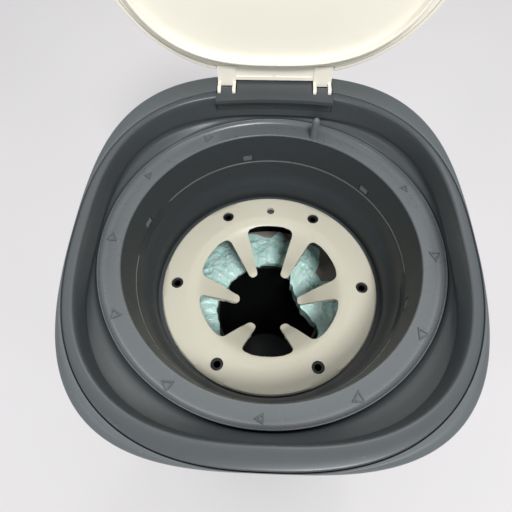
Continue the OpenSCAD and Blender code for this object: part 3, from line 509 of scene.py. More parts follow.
def tint(name, description, code):
    """A colour that the panel offers, from its hex code."""
    return FloatVectorProperty(name=name, description=f"Colour of {description}", subtype="COLOR",
                               default=linear(code), min=0, max=1)


def length(name, description, default, low, high):
    """A length that the panel offers, in metres."""
    return FloatProperty(name=name, description=description, unit="LENGTH", default=default, min=low,
                         max=high)


class NappyBinFinishes(bpy.types.PropertyGroup):
    shell: tint("Casing", "the tub and the head's casing", "#595f61")
    # Painted shade: the liner's grey is darker than the casing's for the shade inside the well.
    liner: tint("Liner", "the liner inside the rim", "#484d50")
    # Painted light and shade: the twist ring's grey is painted paler for the light on its ledge, and the
    # carrier's darker for the shade on the deep walls.
    ring: tint("Twist ring", "the twist ring", "#606568")
    carrier: tint("Carrier", "the carrier and the ring's skirt", "#373c3f")
    peg: tint("Peg and button", "the polished small parts", "#6a7072")
    cream: tint("Finger ring", "the finger ring", "#d3cfbd")
    lid: tint("Lid", "the lid", "#f3efe1")
    film: tint("Film", "the cassettes' film", "#d4fbee")
    floor: tint("Floor", "the floor", "#d8d6d7")


class NappyBinSizes(bpy.types.PropertyGroup):
    rim_gap: length("Seam", "Gap between casing and liner at the rim", 0.0004, 0.0003, 0.001)
    mark_radius: length("Marks' circle", "Radius of the circle of marks on the ledge", 0.1175, 0.112, 0.12)
    mark_size: length("Marks' side", "Side of the raised triangles on the ledge", 0.0088, 0.005, 0.011)
    mark_count: IntProperty(name="Marks", description="Number of places for marks round the ledge",
                            default=12, min=6, max=24)
    dial_ribs: IntProperty(name="Dial ribs", description="Number of grip ribs round the dial",
                           default=48, min=24, max=72)
    finger_edge: length("Finger edge", "Rounding of the finger ring's edges", 0.0007, 0.0002, 0.0012)


# ---- Head ----

TAPER_W, TAPER_D = 3.5, 4
POCKET_HALF = 47


def body_level(z, share, inset=0.0):
    """The casing's outline at a height, drawn in by a share of its taper and by an inset."""
    half_w, half_d = HALF_W - inset - TAPER_W * share, HALF_D - inset - TAPER_D * share
    return (z, half_w, half_d, HEAD_SHIFT - share, SQUARE, BEHIND)


def hinge_pocket():
    """The room that the hinge plate takes in the rim."""
    front, back = PIVOT.y - 17.1, PIVOT.y + 8.9
    return block("pocket", (-POCKET_HALF, front, RIM - 14.3), (POCKET_HALF, back, RIM + 10))


class BIN_OT_casing(bpy.types.Operator):
    """Builds the head's outer casing with its rounded rim"""
    bl_idname = "nappy_bin.casing"
    bl_label = "Casing"

    def execute(self, context):
        z = RIM
        made = loft("casing", [
            body_level(SPLIT, 1), body_level(SPLIT + 1.2, 0.96),
            [body_level(z - 60, 0.3), body_level(z - 14, 0.05), body_level(z - 6, 0),
             (z - 3.2, HALF_W - 0.15, HALF_D - 0.6, 2.0, SQUARE, BEHIND),
             (z - 1.4, HALF_W - 0.6, HALF_D - 2.9, -0.2, SQUARE - 0.2, BEHIND),
             (z - 0.3, HALF_W - 1.2, HALF_D - 6.6, -3.8, SQUARE - 0.4, BEHIND),
             (z - 0.5, SEAM[0] + 0.2, SEAM[1] + 0.25, SEAM[2], 2.5, 0), (z - 1, *SEAM, 0)],
            (z - 3.4, *SEAM, 0), body_level(z - 9, 0, WALL),
            [body_level(z - 60, 0.3, WALL), body_level(SPLIT, 1, WALL)],
        ])
        window = block("window", (-20, FRONT_Y - 5, SPLIT + 6), (20, FRONT_Y + 10, SPLIT + 22))
        cut(made, hinge_pocket(), window)
        dress(made, "head_body", "satin_polypropylene", ["head_casing"])
        return {"FINISHED"}


class BIN_OT_liner(bpy.types.Operator):
    """Builds the liner, from the inner rim down to the twist ring"""
    bl_idname = "nappy_bin.liner"
    bl_label = "Liner"

    def execute(self, context):
        z, lip = RIM, LEDGE - 14
        a, b, shift, n = RIM_IN
        gap = context.scene.nappy_bin_sizes.rim_gap / MM

        def bore_level(height, more):
            return (height, BORE_R + more, BORE_R + more, 0, 2)

        def seam_level(height, in_a, in_b, back=0.0, square=2.5):
            return (height, SEAM[0] - gap - in_a, SEAM[1] - gap - in_b, SEAM[2] + back, square)

        made = loft("liner", [
            bore_level(lip - 3, 3), bore_level(LEDGE - 4, 3),
            [(LEDGE + 6.5, BORE_R + 2.6, b - 1.2 + WALL, -1.4, 2.4),
             (LEDGE + 11, a - 0.1 + WALL, b - 1.2 + WALL, -4.2, n),
             (z - 7, a + 0.5 + WALL, b + 0.6 + WALL, shift, n)],
            seam_level(z - 4.4, 0, 0), seam_level(z - 1.2, 0, 0),
            [seam_level(z - 0.5, 0.35, 0.4), seam_level(z - 0.15, 1.2, 1.4, 0.1, 2.52),
             (z, (a + SEAM[0]) / 2, (b + SEAM[1]) / 2, (shift + SEAM[2]) / 2, 2.6),
             (z - 0.6, a + 0.9, b + 1.1, shift, n), (z - 2.6, a, b, shift, n),
             (z - 10, a - 0.1, b - 0.6, -4.6, 2.69), (z - 20, a - 0.2, b - 1.3, -4.2, 2.68)],
            [(z - 20.5, a - 0.1, b - 1.2, -4.2, 2.68), (LEDGE + 6, BORE_R, b - 1.2, -1.4, 2.4),
             (LEDGE + 3, BORE_R, BORE_R + 0.9, -0.7, 2.15), bore_level(LEDGE - 1, 0)],
            bore_level(lip, 0), bore_level(lip, -5.5), bore_level(lip - 3, -5.5),
        ])
        cut(made, hinge_pocket())
        dress(made, "head_body", "smooth_polypropylene", ["head_liner"])
        return {"FINISHED"}


class BIN_OT_hinge_plate(bpy.types.Operator):
    """Finishes the hinge plate behind the rim and both hinges' pins"""
    bl_idname = "nappy_bin.hinge_plate"
    bl_label = "Hinge plate"

    def execute(self, context):
        paint("smooth_polypropylene", "lid_hinge_block")
        paint("zinc_plated_steel", "lid_hinge_pins", "head_hinge_pin")
        paint("satin_polypropylene", "head_hinge_leaf", "tub_hinge_bracket")
        return {"FINISHED"}


class BIN_OT_mechanism(bpy.types.Operator):
    """Finishes the fixed bowl, its collar, the glide ring and their screws"""
    bl_idname = "nappy_bin.mechanism"
    bl_label = "Mechanism"

    def execute(self, context):
        paint("smooth_polypropylene", "mechanism_housing", "housing_collar", "cutter_rail")
        paint("cream_polypropylene", "glide_ring", "cutter_slider")
        paint("zinc_plated_steel", "housing_screws", "cutter_blade")
        return {"FINISHED"}


# ---- Finger ring ----

FINGERS = 6
FINGER_TIP_R, FINGER_ROOT_R = 27.6, 62.5
FINGER_HALF = 3.7
SCREW_CIRCLE, PIN_CIRCLE = 81.1, 78.1
# Height of the fingers' upper face below the ring's flat face, as (radius, height).
FINGER_PROFILE = [(20, -38.6), (24.6, -36.4), (31.6, -33.4), (40.7, -22.6), (50.3, -13.1), (58.5, -5.5),
                  (63.5, -2.1), (68.5, -0.7), (71.5, 0.0)]


def corner_arc(a, p, b, r, steps=6):
    """Corner p of an outline as an arc of radius r, with its neighbours a and b."""
    u, v = (a - p).normalized(), (b - p).normalized()
    half = u.angle(v) / 2
    reach = r / math.tan(half)
    centre = p + (u + v).normalized() * r / math.sin(half)
    start, end = p + u * reach - centre, p + v * reach - centre
    turn = math.atan2(start.x * end.y - start.y * end.x, start.dot(end))
    first = math.atan2(start.y, start.x)
    return [centre + Vector((math.cos(first + turn * i / steps), math.sin(first + turn * i / steps))) * r
            for i in range(steps + 1)]


def finger_outline():
    """The edge of the opening between the fingers, in even steps."""
    corners = []
    for k in range(FINGERS):
        arc = [(FINGER_ROOT_R + 0.2, 0, 30 + more, 0) for more in range(-12, 13, 3)]
        for x, y, more, r in ((FINGER_TIP_R, -FINGER_HALF, 0, 3.65), (FINGER_TIP_R, FINGER_HALF, 0, 3.65),
                              (FINGER_ROOT_R - 1.6, 9.3, 0, 5), *arc, (FINGER_ROOT_R - 1.6, -9.3, 60, 5)):
            turn = Matrix.Rotation(math.radians(360 * k / FINGERS + more), 2)
            corners.append((turn @ Vector((x, y)), r))
    points = []
    for i, (p, r) in enumerate(corners):
        a, b = corners[i - 1][0], corners[(i + 1) % len(corners)][0]
        points += corner_arc(a, p, b, r) if r else [p]
    even = []
    for p, q in zip(points, points[1:] + points[:1]):
        steps = max(1, round((q - p).length / 1.4))
        even += [p.lerp(q, i / steps) for i in range(steps)]
    return even


FINGER_HEIGHTS = smooth(FINGER_PROFILE, 8)


def finger_height(r):
    """Height of the ring's upper face at a radius, from its flat face and its rounded outer edge."""
    edge = 1.6
    if r > RING_R - edge:
        return -1.3 * ((r - RING_R + edge) / edge) ** 2
    for (r0, z0), (r1, z1) in zip(FINGER_HEIGHTS, FINGER_HEIGHTS[1:]):
        if r <= r1:
            return z0 + (z1 - z0) * (r - r0) / (r1 - r0)
    return 0.0


class BIN_OT_finger_ring(bpy.types.Operator):
    """Builds the cream ring with its six fingers and its dark screws"""
    bl_idname = "nappy_bin.finger_ring"
    bl_label = "Finger ring"

    def execute(self, context):
        edge, rows = finger_outline(), 26
        rings = []
        for k in range(rows + 1):
            reach = [p.length + (RING_R - p.length) * (k / rows) for p in edge]
            rings.append([Vector((*(p.normalized() * r), RING_TOP + finger_height(r)))
                          for p, r in zip(edge, reach)])
        made = build("finger_ring_moulding", *skin(rings, False))
        if made.data.polygons[len(made.data.polygons) // 2].normal.z < 0:
            made.data.flip_normals()
        wall = made.modifiers.new("wall", "SOLIDIFY")
        wall.thickness = 3.2 * MM
        wall.offset = -1
        wall.use_even_offset = True
        bpy.context.view_layer.update()
        applied(made)
        rounded(made, context.scene.nappy_bin_sizes.finger_edge / MM, 3, 50)
        recess = lathe("recess", [(0, -3), (5.2, -3), (5.2, -0.3), (5.6, 2), (0, 2)], 40)
        pockets = round_circle("pockets", recess, 6, SCREW_CIRCLE, RING_TOP, 0, "blackened_steel")
        cut(made, pockets, shifted(rod("pin", 3.65, -8, 2), 0, PIN_CIRCLE, RING_TOP))
        dress(made, "head_body", "cream_polypropylene", ["finger_ring"], 40)
        screw = lathe("screw", [
            (0, -1.5), (5.1, -1.5), [(5.1, 0.3), (4.8, 1), (4.2, 1.3), (3.2, 1.35)],
            [(2.9, 1.2), (2.75, 0.6)], (2.6, -0.9), (0, -0.9)], 36)
        screws = round_circle("ring_screws", screw, 6, SCREW_CIRCLE, RING_TOP - 2.1, 0, "blackened_steel")
        dress(screws, "head_body", "blackened_steel", ["finger_ring_screws"])
        return {"FINISHED"}


# ---- Twist ring and carrier ----

LEDGE_R = BORE_R - 15.9
SKIRT_R = LEDGE_R - 3.6
SKIRT_LOW = LEDGE - 28
PEG = Matrix.Rotation(math.radians(72), 2) @ Vector((LEDGE_R + 3.8, 0))


def tab_boxes(name, inner, outer, half, low, high):
    """Boxes at the carrier's six snap tabs."""
    return round_circle(name, block(name, (inner, -half, low), (outer, half, high)), 6, 0, 0, 42)


class BIN_OT_twist_ring(bpy.types.Operator):
    """Builds the twist ring with its ledge and skirt, and its peg"""
    bl_idname = "nappy_bin.twist_ring"
    bl_label = "Twist ring"

    def execute(self, context):
        out, under, top, rib = BORE_R - 0.5, LEDGE - 2.6, LEDGE, LEDGE_R + 3.85
        made = lathe("ledge_ring", [
            (SKIRT_R + 2.4, SKIRT_LOW + 0.2), (SKIRT_R + 2.4, top - 13), (LEDGE_R + 0.6, under), (rib, under),
            (rib, top - 8.3), (rib + 3.4, top - 8.3), (rib + 3.4, under), (out - 2, under),
            (out - 1.6, under - 3), (out, under - 3), (out, top + 3.5),
            [(out - 0.3, top + 3.8), (out - 0.7, top + 3.6), (out - 1.1, top + 2.8), (out - 1.9, top + 1.7),
             (out - 3.4, top + 0.6), (out - 6, top)], (LEDGE_R + 1.3, top),
            [(LEDGE_R + 0.5, top - 0.2), (LEDGE_R + 0.05, top - 0.8), (LEDGE_R - 0.15, top - 1.6)],
            [(SKIRT_R + 1.2, top - 15), (SKIRT_R, SKIRT_LOW + 0.5)],
            [(SKIRT_R + 0.15, SKIRT_LOW + 0.12), (SKIRT_R + 0.5, SKIRT_LOW)],
            (SKIRT_R + 2.2, SKIRT_LOW), (SKIRT_R + 2.4, SKIRT_LOW + 0.2),
        ], 288)
        cut(made, tab_boxes("slots", SKIRT_R - 3, SKIRT_R + 5.4, 5, SKIRT_LOW + 1.5, SKIRT_LOW + 7.5))
        cut(made, shifted(rod("hole", 1.75, under - 1, top + 1), *PEG))
        dress(made, "twister_body", "ring_polypropylene", ["twist_ring"])
        # Painted shade and light: the skirt's wall takes the dark wall finish for its shade, while its foot
        # and the ledge keep the paler grey, which paints light lines along their edges.
        partly(made, "carrier_polypropylene",
               lambda z, r: SKIRT_LOW + 0.55 < z < top - 1.2 and r < SKIRT_R + 5.5)
        r, high = 3.4, top + 21
        peg = lathe("peg", [
            (0, under), (1.7, under), (1.7, top), (r, top),
            [(r, top + 0.8), (r - 0.15, top + 2.2), (r - 0.25, high - 4.4)],
            [(r - 0.45, high - 3.2), (r - 1, high - 1.6), (r - 2.1, high - 0.4), (0, high)]], 48)
        dress(shifted(peg, *PEG), "twister_body", "polished_acetal", ["drive_peg"])
        return {"FINISHED"}


class BIN_OT_carrier(bpy.types.Operator):
    """Builds the carrier, the bowl that hangs in the twist ring and holds a cassette"""
    bl_idname = "nappy_bin.carrier"
    bl_label = "Carrier"

    def execute(self, context):
        seat, neck, collar = LEDGE_R - 11.6, SKIRT_R - 0.4, LEDGE_R + 0.8
        shelf, seat_low, low = SKIRT_LOW - 0.3, RING_TOP + 0.6, RING_TOP - 3.9
        made = lathe("bowl", [
            (seat + 0.8, low), (seat + 3.2, low), (seat + 3.2, seat_low + 14), (neck + 2.4, shelf - 6.4),
            (collar, shelf - 2.4), (collar, SKIRT_LOW + 11), (collar - 1.7, SKIRT_LOW + 11),
            (collar - 1.7, shelf), (neck + 0.5, shelf),
            [(neck + 0.12, shelf - 0.15), (neck - 0.05, shelf - 0.55)],
            [(neck - 0.6, shelf - 2.4), ((seat + neck) / 2 + 2, shelf - 16), (seat + 1.5, seat_low + 16),
             (seat + 0.25, seat_low + 12.6)],
            [(seat + 0.05, seat_low + 12), (seat, seat_low + 11.2)], (seat, seat_low + 0.2),
            (seat + 0.8, seat_low - 0.3), (seat + 0.8, low),
        ], 288)
        # Two shallow grips, each the edge of a wide cone that leans out of the skirt's foot.
        scoop_r, deep, over = 63.6, SKIRT_LOW - 9, SKIRT_LOW + 0.8
        scoop = lathe("scoop", [(0, deep), (scoop_r, deep), (scoop_r + 2.6, over), (0, over)], 144)
        cut(made, round_circle("scoops", shifted(scoop, SKIRT_R - scoop_r, 0), 2, 0, 0, 162))
        tabs = tab_boxes("tabs", SKIRT_R + 0.4, SKIRT_R + 3.7, 4, SKIRT_LOW + 2, SKIRT_LOW + 7)
        cut(made, tabs, operation="UNION")
        # The carrier's grey is painted dark for the shade deep in the well.
        dress(made, "twister_body", "carrier_polypropylene", ["cassette_carrier"])
        # Painted highlight: the lip at the carrier's top takes the ledge's paler grey as a light line along
        # its edge.
        partly(made, "ring_polypropylene", lambda z, r: z > shelf - 0.7)
        return {"FINISHED"}


def mark_item(name, side, dotted):
    """A raised outline triangle, pointing along the circle, with a dot inside it or without."""
    shape = [Vector((math.sin(turn), -math.cos(turn))) * side / math.sqrt(3)
             for turn in (-math.pi / 3, math.pi / 3, math.pi)]
    scale = 2 * math.sqrt(3) / side
    rings = [[Vector((*(p * (1 - inset * scale)), z)) for p in shape]
             for inset, z in ((0, -0.15), (0.1, 0.7), (0.3, 0.95), (0.8, 0.95), (1, 0.7), (1.1, -0.15))]
    made = build(name, *skin(rings, True))
    if dotted:
        dot = lathe("dot", [(0, -0.15), (1.25, -0.15), [(1.1, 0.4), (0.6, 0.7), (0, 0.75)]], 16)
        cut(made, shifted(dot, 0, 0.1), operation="UNION")
    return move(made, Matrix.Rotation(math.pi, 4, "Z"))


class BIN_OT_marks(bpy.types.Operator):
    """Sets the raised marks on the twist ring's ledge"""
    bl_idname = "nappy_bin.marks"
    bl_label = "Marks"

    def execute(self, context):
        sizes = context.scene.nappy_bin_sizes
        side = sizes.mark_size / MM
        circle = (sizes.mark_count, sizes.mark_radius / MM, LEDGE, 28)
        plain = round_circle("ledge_marks", mark_item("plain", side, False), *circle, every=4, others=True,
                             first=3)
        dotted = round_circle("ledge_dots", mark_item("dotted", side * 0.8, True), *circle, every=4)
        for marks in (plain, dotted):
            dress(marks, "twister_body", "ring_polypropylene")
        return {"FINISHED"}


# ---- Cassettes ----

# Where the uppermost cassette's loose film ends over the core's hole and on the cover, as (degrees, radius).
FILM_EDGE = [(-24, 55.5), (-17, 52), (-9, 43.5), (9, 33.6), (36, 33.4), (53, 38.4), (62, 47), (78, 55),
             (89, 55), (103, 51.8), (120, 50.6), (135, 50.6), (151, 51), (177, 52), (198, 50.6), (211, 53),
             (240, 54), (268, 46), (300, 56)]
FILM_REACH = [(-20, 90), (20, 88), (28, 75), (33, 66.5), (42, 68), (47, 80), (54, 93), (76, 88), (83, 96),
              (89, 87), (103, 94), (140, 95), (200, 93), (250, 90), (300, 88)]
# The same for film that is still packed, and the share of a film's rows that hangs inside the core.
PACKED_EDGE, PACKED_REACH = 51.5, 57
INSIDE = 0.16


def round_table(rows, degrees):
    """A smooth value from a table of (degrees, value) that closes round a circle."""
    angle = (degrees - rows[0][0]) % 360 + rows[0][0]
    ring = rows + [(rows[0][0] + 360, rows[0][1])]
    for (a, p), (b, q) in zip(ring, ring[1:]):
        if angle <= b:
            u = (angle - a) / (b - a)
            return p + (q - p) * u * u * (3 - 2 * u)
    return rows[0][1]


def crease(place, octaves):
    """Sharp-ridged unevenness of crumpled film, about -1 to 1."""
    total, share, size = 0.0, 0.55, 1.0
    for k in range(octaves):
        total += share * (1 - 3.2 * abs(noise.noise(place * size + Vector((0, 0, 3.1 * k)))))
        share, size = share * 0.55, size * 2.1
    return total


def film_point(seed, low, high, loose, t, v):
    """Where a film's point lies at an angle and a share of the way out, and how pale its fold is painted
    there: paler where the crumple rises, for its light, deeper mint where it sinks, for its shade.
    """
    along = Vector((math.cos(t), math.sin(t), 0))
    edge, reach = PACKED_EDGE, PACKED_REACH
    if loose:
        edge, reach = (round_table(table, math.degrees(t)) for table in (FILM_EDGE, FILM_REACH))
    edge += 1.1 * noise.noise(along * 5 + Vector((0, 0, seed)))
    reach += 2.4 * noise.noise(along * 6 + Vector((3, 0, seed)))
    out = max(0.0, (v - INSIDE) / (1 - INSIDE))
    r = edge + (reach - edge) * out
    pull = along * (r * 0.28 + 26) * 0.16
    pleat = crease(Vector((pull.x, pull.y, seed + 0.4 * v)), 3)
    lump = crease(along * r * 0.052 + Vector((0, 0, seed + 5)), 5)
    bulge = max(0.0, 50 - edge) / 17
    if v < INSIDE:
        lift = high - (high - low) * (1 - v / INSIDE) ** 1.6 * (0.35 + 0.65 * min(1, bulge + 0.6))
    else:
        lift = high + 3.4 * math.sin(math.pi * min(1, out * 1.15 + 0.1)) - 5 * bulge * (1 - out) ** 3
    tame = min(1, 0.25 + 3 * v) * min(1, 6 * (1 - v) + 0.15)
    height = (1.5 * pleat * (1 - 0.55 * out) + 2.3 * lump * min(1, 0.4 + out)) * tame
    spot = along * (r + 0.9 * pleat * (1 - out))
    # Painted light and shade: the crumple that lifts the film makes it paler, and where it sinks it turns
    # deeper mint.
    pale = min(1.0, max(0.0, 0.62 + 0.4 * pleat + 0.45 * lump))
    return (spot.x, spot.y, lift + max(height, -2.2) + 1.2), pale


def film_sheet(name, seed, low, high, loose):
    """Film drawn up through a cassette's core, folded over the core's edge and crumpled on the cover."""
    count, rows = (900, 64) if loose else (360, 26)
    made = [film_point(seed, low, high, loose, 2 * math.pi * i / count, j / rows)
            for j in range(rows + 1) for i in range(count)]
    faces = [(a + i, a + (i + 1) % count, a + count + (i + 1) % count, a + count + i)
             for a in range(0, rows * count, count) for i in range(count)]
    mesh = bpy.data.meshes.new(name)
    mesh.from_pydata([Vector(place) * MM for place, _ in made], [], faces)
    # The fold attribute carries the painted light and shade of the crumples.
    shade = mesh.attributes.new("fold", "FLOAT", "POINT")
    shade.data.foreach_set("value", [pale for _, pale in made])
    sheet = bpy.data.objects.new(name, mesh)
    bpy.context.scene.collection.objects.link(sheet)
    return sheet


class BIN_OT_cassettes(bpy.types.Operator):
    """Builds the film of the spare cassettes and finishes their bodies and covers"""
    bl_idname = "nappy_bin.cassettes"
    bl_label = "Cassettes"

    def execute(self, context):
        for i in (1, 2, 3):
            paint("black_polypropylene", f"cassette_{i}_body")
            paint("cassette_polystyrene", f"cassette_{i}_cover")
            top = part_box(f"cassette_{i}_cover")[1].z / MM
            film = film_sheet(f"film_{i}", i, top - 16, top if i == 3 else top - 5, i == 3)
            dress(film, "tub_body", "mint_polyethylene_film", [f"cassette_{i}_film"], 180)
        return {"FINISHED"}


# ---- Tub ----

class BIN_OT_tub(bpy.types.Operator):
    """Builds the tub's smooth wall and finishes what stands under it"""
    bl_idname = "nappy_bin.tub"
    bl_label = "Tub"

    def execute(self, context):
        a, b, top = HALF_W - 16.5, HALF_D - 22, SPLIT - 0.3

        def belly(inset):
            return ((8 + top) / 2, HALF_W - 9.5 - inset, HALF_D - 11 - inset, 0.8, 3.05, BEHIND / 2)

        made = loft("tub_wall", [
            (4, a - 3.6, b - 3.6, 0, 2.9, 0),
            [(4.4, a - 2.2, b - 2.2, 0, 2.9, 0), (6.4, a - 0.6, b - 0.6, 0, 2.95, 0),
             (12, a + 0.8, b + 0.8, 0, 3, 0), belly(0), body_level(top - 1.2, 0.99)],
            body_level(top, 1, 0.5), body_level(top, 1, WALL),
            [belly(WALL), (14, a + 1 - WALL, b + 1 - WALL, 0, 3, 0),
             (8, a - 2.5 - WALL, b - 2.5 - WALL, 0, 2.95, 0)],
        ], capped=True)
        pad = block("pad", (-42, BACK_Y - 9.5, SPLIT - 26), (42, BACK_Y - 4, SPLIT - 3))
        boss = block("boss", (-12, FRONT_Y + 4.2, SPLIT - 17), (12, FRONT_Y + 7, SPLIT - 2))
        cut(made, pad, boss, operation="UNION")
        dress(made, "tub_body", "satin_polypropylene", ["tub"])
        paint("thermoplastic_rubber", "base_ring")
        paint("black_polypropylene", "latch_strike")
        return {"FINISHED"}


# ---- Latch ----

class BIN_OT_latch(bpy.types.Operator):
    """Finishes the release button, its guide and its spring"""
    bl_idname = "nappy_bin.latch"
    bl_label = "Latch"

    def execute(self, context):
        paint("polished_acetal", "latch_button")
        paint("smooth_polypropylene", "latch_bracket")
        paint("zinc_plated_steel", "latch_spring")
        return {"FINISHED"}


# ---- Lid ----

LID_REAR, LID_FRONT = PIVOT.y - 11, SEAM[2] - SEAM[1] + 0.3
PLUG_REAR, PLUG_FRONT = PIVOT.y - 21, RIM_IN[2] - RIM_IN[1] + 4


def lid_level(z, inset, rise=0, n=2.5):
    """The domed lid's outline at a height, drawn in by an inset."""
    half, middle = (LID_REAR - LID_FRONT) / 2, (LID_REAR + LID_FRONT) / 2
    return (z, SEAM[0] - inset, half - inset, middle + rise, n)


def plug_level(z, inset):
    """The outline of the part that dips into the rim, at a height."""
    half, middle = (PLUG_REAR - PLUG_FRONT) / 2, (PLUG_REAR + PLUG_FRONT) / 2
    return (z, RIM_IN[0] - 4 - inset, half - inset, middle, RIM_IN[3])


class BIN_OT_lid(bpy.types.Operator):
    """Builds the lid's domed shell and its inner panel"""
    bl_idname = "nappy_bin.lid"
    bl_label = "Lid"

    def execute(self, context):
        w, high, edge, spindle = 2.5, RIM + 56, RIM + 0.8, 8.45
        shell = loft("lid_dome", [
            lid_level(high - w, 49, 7, 2.2),
            [lid_level(high - w - 3.5, 36, 6, 2.3), lid_level(high - w - 11, 20.5, 4, 2.4),
             lid_level(high - w - 25, 8, 1.5), lid_level(RIM + 14, w + 0.8), lid_level(edge, w)],
            lid_level(edge, 0.8), [lid_level(edge + 0.25, 0.25), lid_level(edge + 0.8, 0)],
            [lid_level(RIM + 14, 0.4), lid_level(high - 25, 5, 1.5), lid_level(high - 11, 16.5, 4, 2.4),
             lid_level(high - 3.5, 32, 6, 2.3), lid_level(high, 45, 7, 2.2)],
        ], capped=True)
        gate_high = (POCKET_HALF, LID_REAR + 1, RIM + 6.6)
        gate = block("gate", (-POCKET_HALF, PLUG_REAR, RIM - 1), gate_high)
        cut(shell, gate, rod("bore", spindle, high - 20, high + 5, 48))
        dress(opened(shell), "lid_body", "lid_polypropylene", ["lid_shell"])
        lip = w + 0.6
        panel = loft("lid_panel", [
            plug_level(RIM + 2, 6),
            [plug_level(RIM + 1.6, 3.4), plug_level(RIM, 2.6), plug_level(RIM - 4.4, 2.4)],
            [plug_level(RIM - 5, 1.6), plug_level(RIM - 5, 0.9), plug_level(RIM - 4.4, 0.1)],
            plug_level(RIM + 0.9, 0), lid_level(RIM + 0.9, lip), lid_level(RIM + 3, lip),
            plug_level(RIM + 3, 2), plug_level(RIM + 4.4, 2),
        ], capped=True)
        slot = block("slot", (-POCKET_HALF, PLUG_REAR + 1.8, RIM - 1), gate_high)
        cut(panel, slot, rod("hole", spindle, RIM - 9, RIM + 9, 48))
        dress(opened(panel), "lid_body", "lid_polypropylene", ["lid_inner"])
        paint("thermoplastic_rubber", "lid_seal")
        paint("lid_polypropylene", "lid_hinge_frame")
        paint("cream_polypropylene", "spindle_bushings")
        return {"FINISHED"}


class BIN_OT_dial(bpy.types.Operator):
    """Finishes the dial on the lid, its arm and its screw, and adds its grip ribs"""
    bl_idname = "nappy_bin.dial"
    bl_label = "Dial"

    def execute(self, context):
        edge = [(-1.2, -1.1), (0.9, -0.7), (0.9, 0.7), (-1.2, 1.1)]
        rib = build("rib", *skin([[Vector((x, y, z)) for x, y in edge] for z in (0.6, 5.2)], False, True))
        count = context.scene.nappy_bin_sizes.dial_ribs
        ribs = round_circle("dial_ribs", rounded(rib, 0.3, 2), count, 54.9, RIM + 56.3, 0)
        dress(opened(ribs), "dial_body", "ring_polypropylene")
        paint("ring_polypropylene", "twist_dial")
        paint("cream_polypropylene", "drive_arm")
        paint("zinc_plated_steel", "dial_screw")
        return {"FINISHED"}


# ---- Stage ----

# The lamps, in metres and watts: name, place, what it points at, size and power. None stands where it would
# shine through the fingers on the tub's floor, which stays dark.
LAMPS = (
    ("front_window", (0.42, -0.95, 2.35), (0, 0, 0.4), (0.5, 0.5), 35.0),
    ("ceiling_panel", (0.0, 1.4, 2.6), (0.0, 1.4, 0.0), (4.6, 2.1), 34.0),
    ("back_lamp", (0.3, 1.7, 2.5), (0, 0, 0.4), (0.3, 0.3), 7.0),
    ("left_window", (-1.5, -0.9, 1.8), (0, 0, 0.4), (0.3, 0.3), 4.0),
    ("right_window", (1.5, -0.9, 1.8), (0, 0, 0.4), (0.3, 0.3), 4.0),
    ("low_front_window", (-0.4, -2.1, 1.25), (0, 0, 0.45), (1.8, 0.9), 9.5),
)

# The camera, fitted to the photograph: its place in metres, its angles in degrees, and focal length by width.
CAMERA_PLACE = (-0.0028, -0.1443, RIM * MM + 0.2288)
CAMERA_PITCH, CAMERA_YAW, CAMERA_ROLL = 62.22, 3.2, -1.37
FOCAL_SHARE = 406.7 / 512


def camera_turn():
    """The camera's directions: down by its pitch, round by its yaw and leaning by its roll."""
    pitch, yaw, roll = (math.radians(angle) for angle in (CAMERA_PITCH, CAMERA_YAW, CAMERA_ROLL))
    turn = Matrix.Rotation(yaw, 3, "Z")
    ahead = turn @ Vector((0, math.cos(pitch), -math.sin(pitch)))
    right = turn @ Vector((1, 0, 0))
    up = right.cross(ahead)
    across = math.cos(roll) * right + math.sin(roll) * up
    above = -math.sin(roll) * right + math.cos(roll) * up
    return Matrix((across, above, -ahead)).transposed().to_4x4()


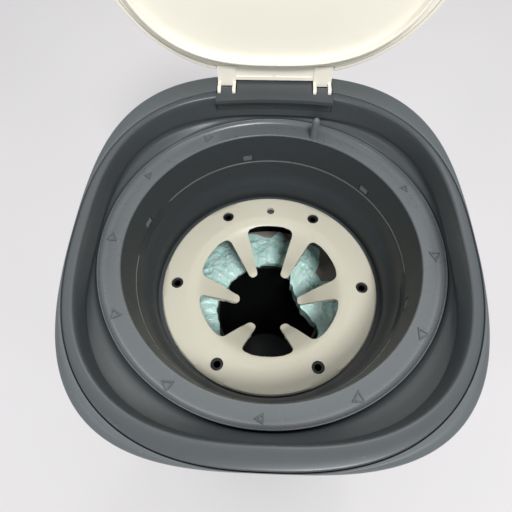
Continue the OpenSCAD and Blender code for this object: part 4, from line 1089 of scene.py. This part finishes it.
class BIN_OT_stage(bpy.types.Operator):
    """Sets the floor, the soft light and the camera at the photograph's place"""
    bl_idname = "nappy_bin.stage"
    bl_label = "Stage"

    def execute(self, context):
        scene = context.scene
        scene.view_settings.view_transform = "Standard"
        far = 9000
        corners = [(-far, -far, 0), (far, -far, 0), (far, far, 0), (-far, far, 0)]
        floor = build("floor", corners, [(0, 1, 2, 3)])
        floor.data.materials.append(floor_paint("matt_floor_board", scene.nappy_bin_finishes.floor))

        world = bpy.data.worlds.new("pale_room")
        world.use_nodes = True
        tree = world.node_tree
        tree.nodes.clear()
        back = add(tree, "ShaderNodeBackground", {"Color": rgba(linear("#f4f5f7")), "Strength": 0.36})
        add(tree, "ShaderNodeOutputWorld", {"Surface": back.outputs[0]})
        scene.world = world
        for name, place, aim, size, power in LAMPS:
            lamp = bpy.data.lights.new(name, "AREA")
            lamp.shape = "RECTANGLE"
            lamp.size, lamp.size_y = size
            lamp.energy = power
            holder = bpy.data.objects.new(name, lamp)
            scene.collection.objects.link(holder)
            holder.location = place
            holder.rotation_mode = "QUATERNION"
            holder.rotation_quaternion = (Vector(aim) - Vector(place)).to_track_quat("-Z", "Y")

        camera = bpy.data.cameras.new("photo_camera")
        camera.sensor_width = 36
        camera.lens = FOCAL_SHARE * camera.sensor_width
        camera.clip_start = 0.01
        eye = bpy.data.objects.new("photo_camera", camera)
        eye.matrix_world = Matrix.Translation(CAMERA_PLACE) @ camera_turn()
        scene.collection.objects.link(eye)
        scene.camera = eye
        return {"FINISHED"}


class BIN_PT_panel(bpy.types.Panel):
    """Lists the bin's settings and the steps that build it"""
    bl_idname = "BIN_PT_panel"
    bl_label = "Nappy Bin"
    bl_space_type = "VIEW_3D"
    bl_region_type = "UI"
    bl_category = "Nappy Bin"

    def draw(self, context):
        for group in (context.scene.nappy_bin_sizes, context.scene.nappy_bin_finishes):
            for name in group.bl_rna.properties.keys():
                if name not in ("rna_type", "name"):
                    self.layout.prop(group, name)
        for step in STEPS:
            self.layout.operator(step.bl_idname)


STEPS = (BIN_OT_stage, BIN_OT_casing, BIN_OT_liner, BIN_OT_hinge_plate, BIN_OT_mechanism, BIN_OT_finger_ring,
         BIN_OT_twist_ring, BIN_OT_carrier, BIN_OT_marks, BIN_OT_cassettes, BIN_OT_tub, BIN_OT_latch,
         BIN_OT_lid, BIN_OT_dial)
CLASSES = (NappyBinFinishes, NappyBinSizes, *STEPS, BIN_PT_panel)


def register():
    for one in CLASSES:
        bpy.utils.register_class(one)
    bpy.types.Scene.nappy_bin_finishes = PointerProperty(type=NappyBinFinishes)
    bpy.types.Scene.nappy_bin_sizes = PointerProperty(type=NappyBinSizes)


def unregister():
    del bpy.types.Scene.nappy_bin_sizes
    del bpy.types.Scene.nappy_bin_finishes
    for one in reversed(CLASSES):
        bpy.utils.unregister_class(one)


def main():
    register()
    for step in STEPS:
        group, name = step.bl_idname.split(".")
        if getattr(getattr(bpy.ops, group), name)() != {"FINISHED"}:
            raise RuntimeError(f"{step.bl_label} wasn't finished")


if __name__ == "__main__":
    main()
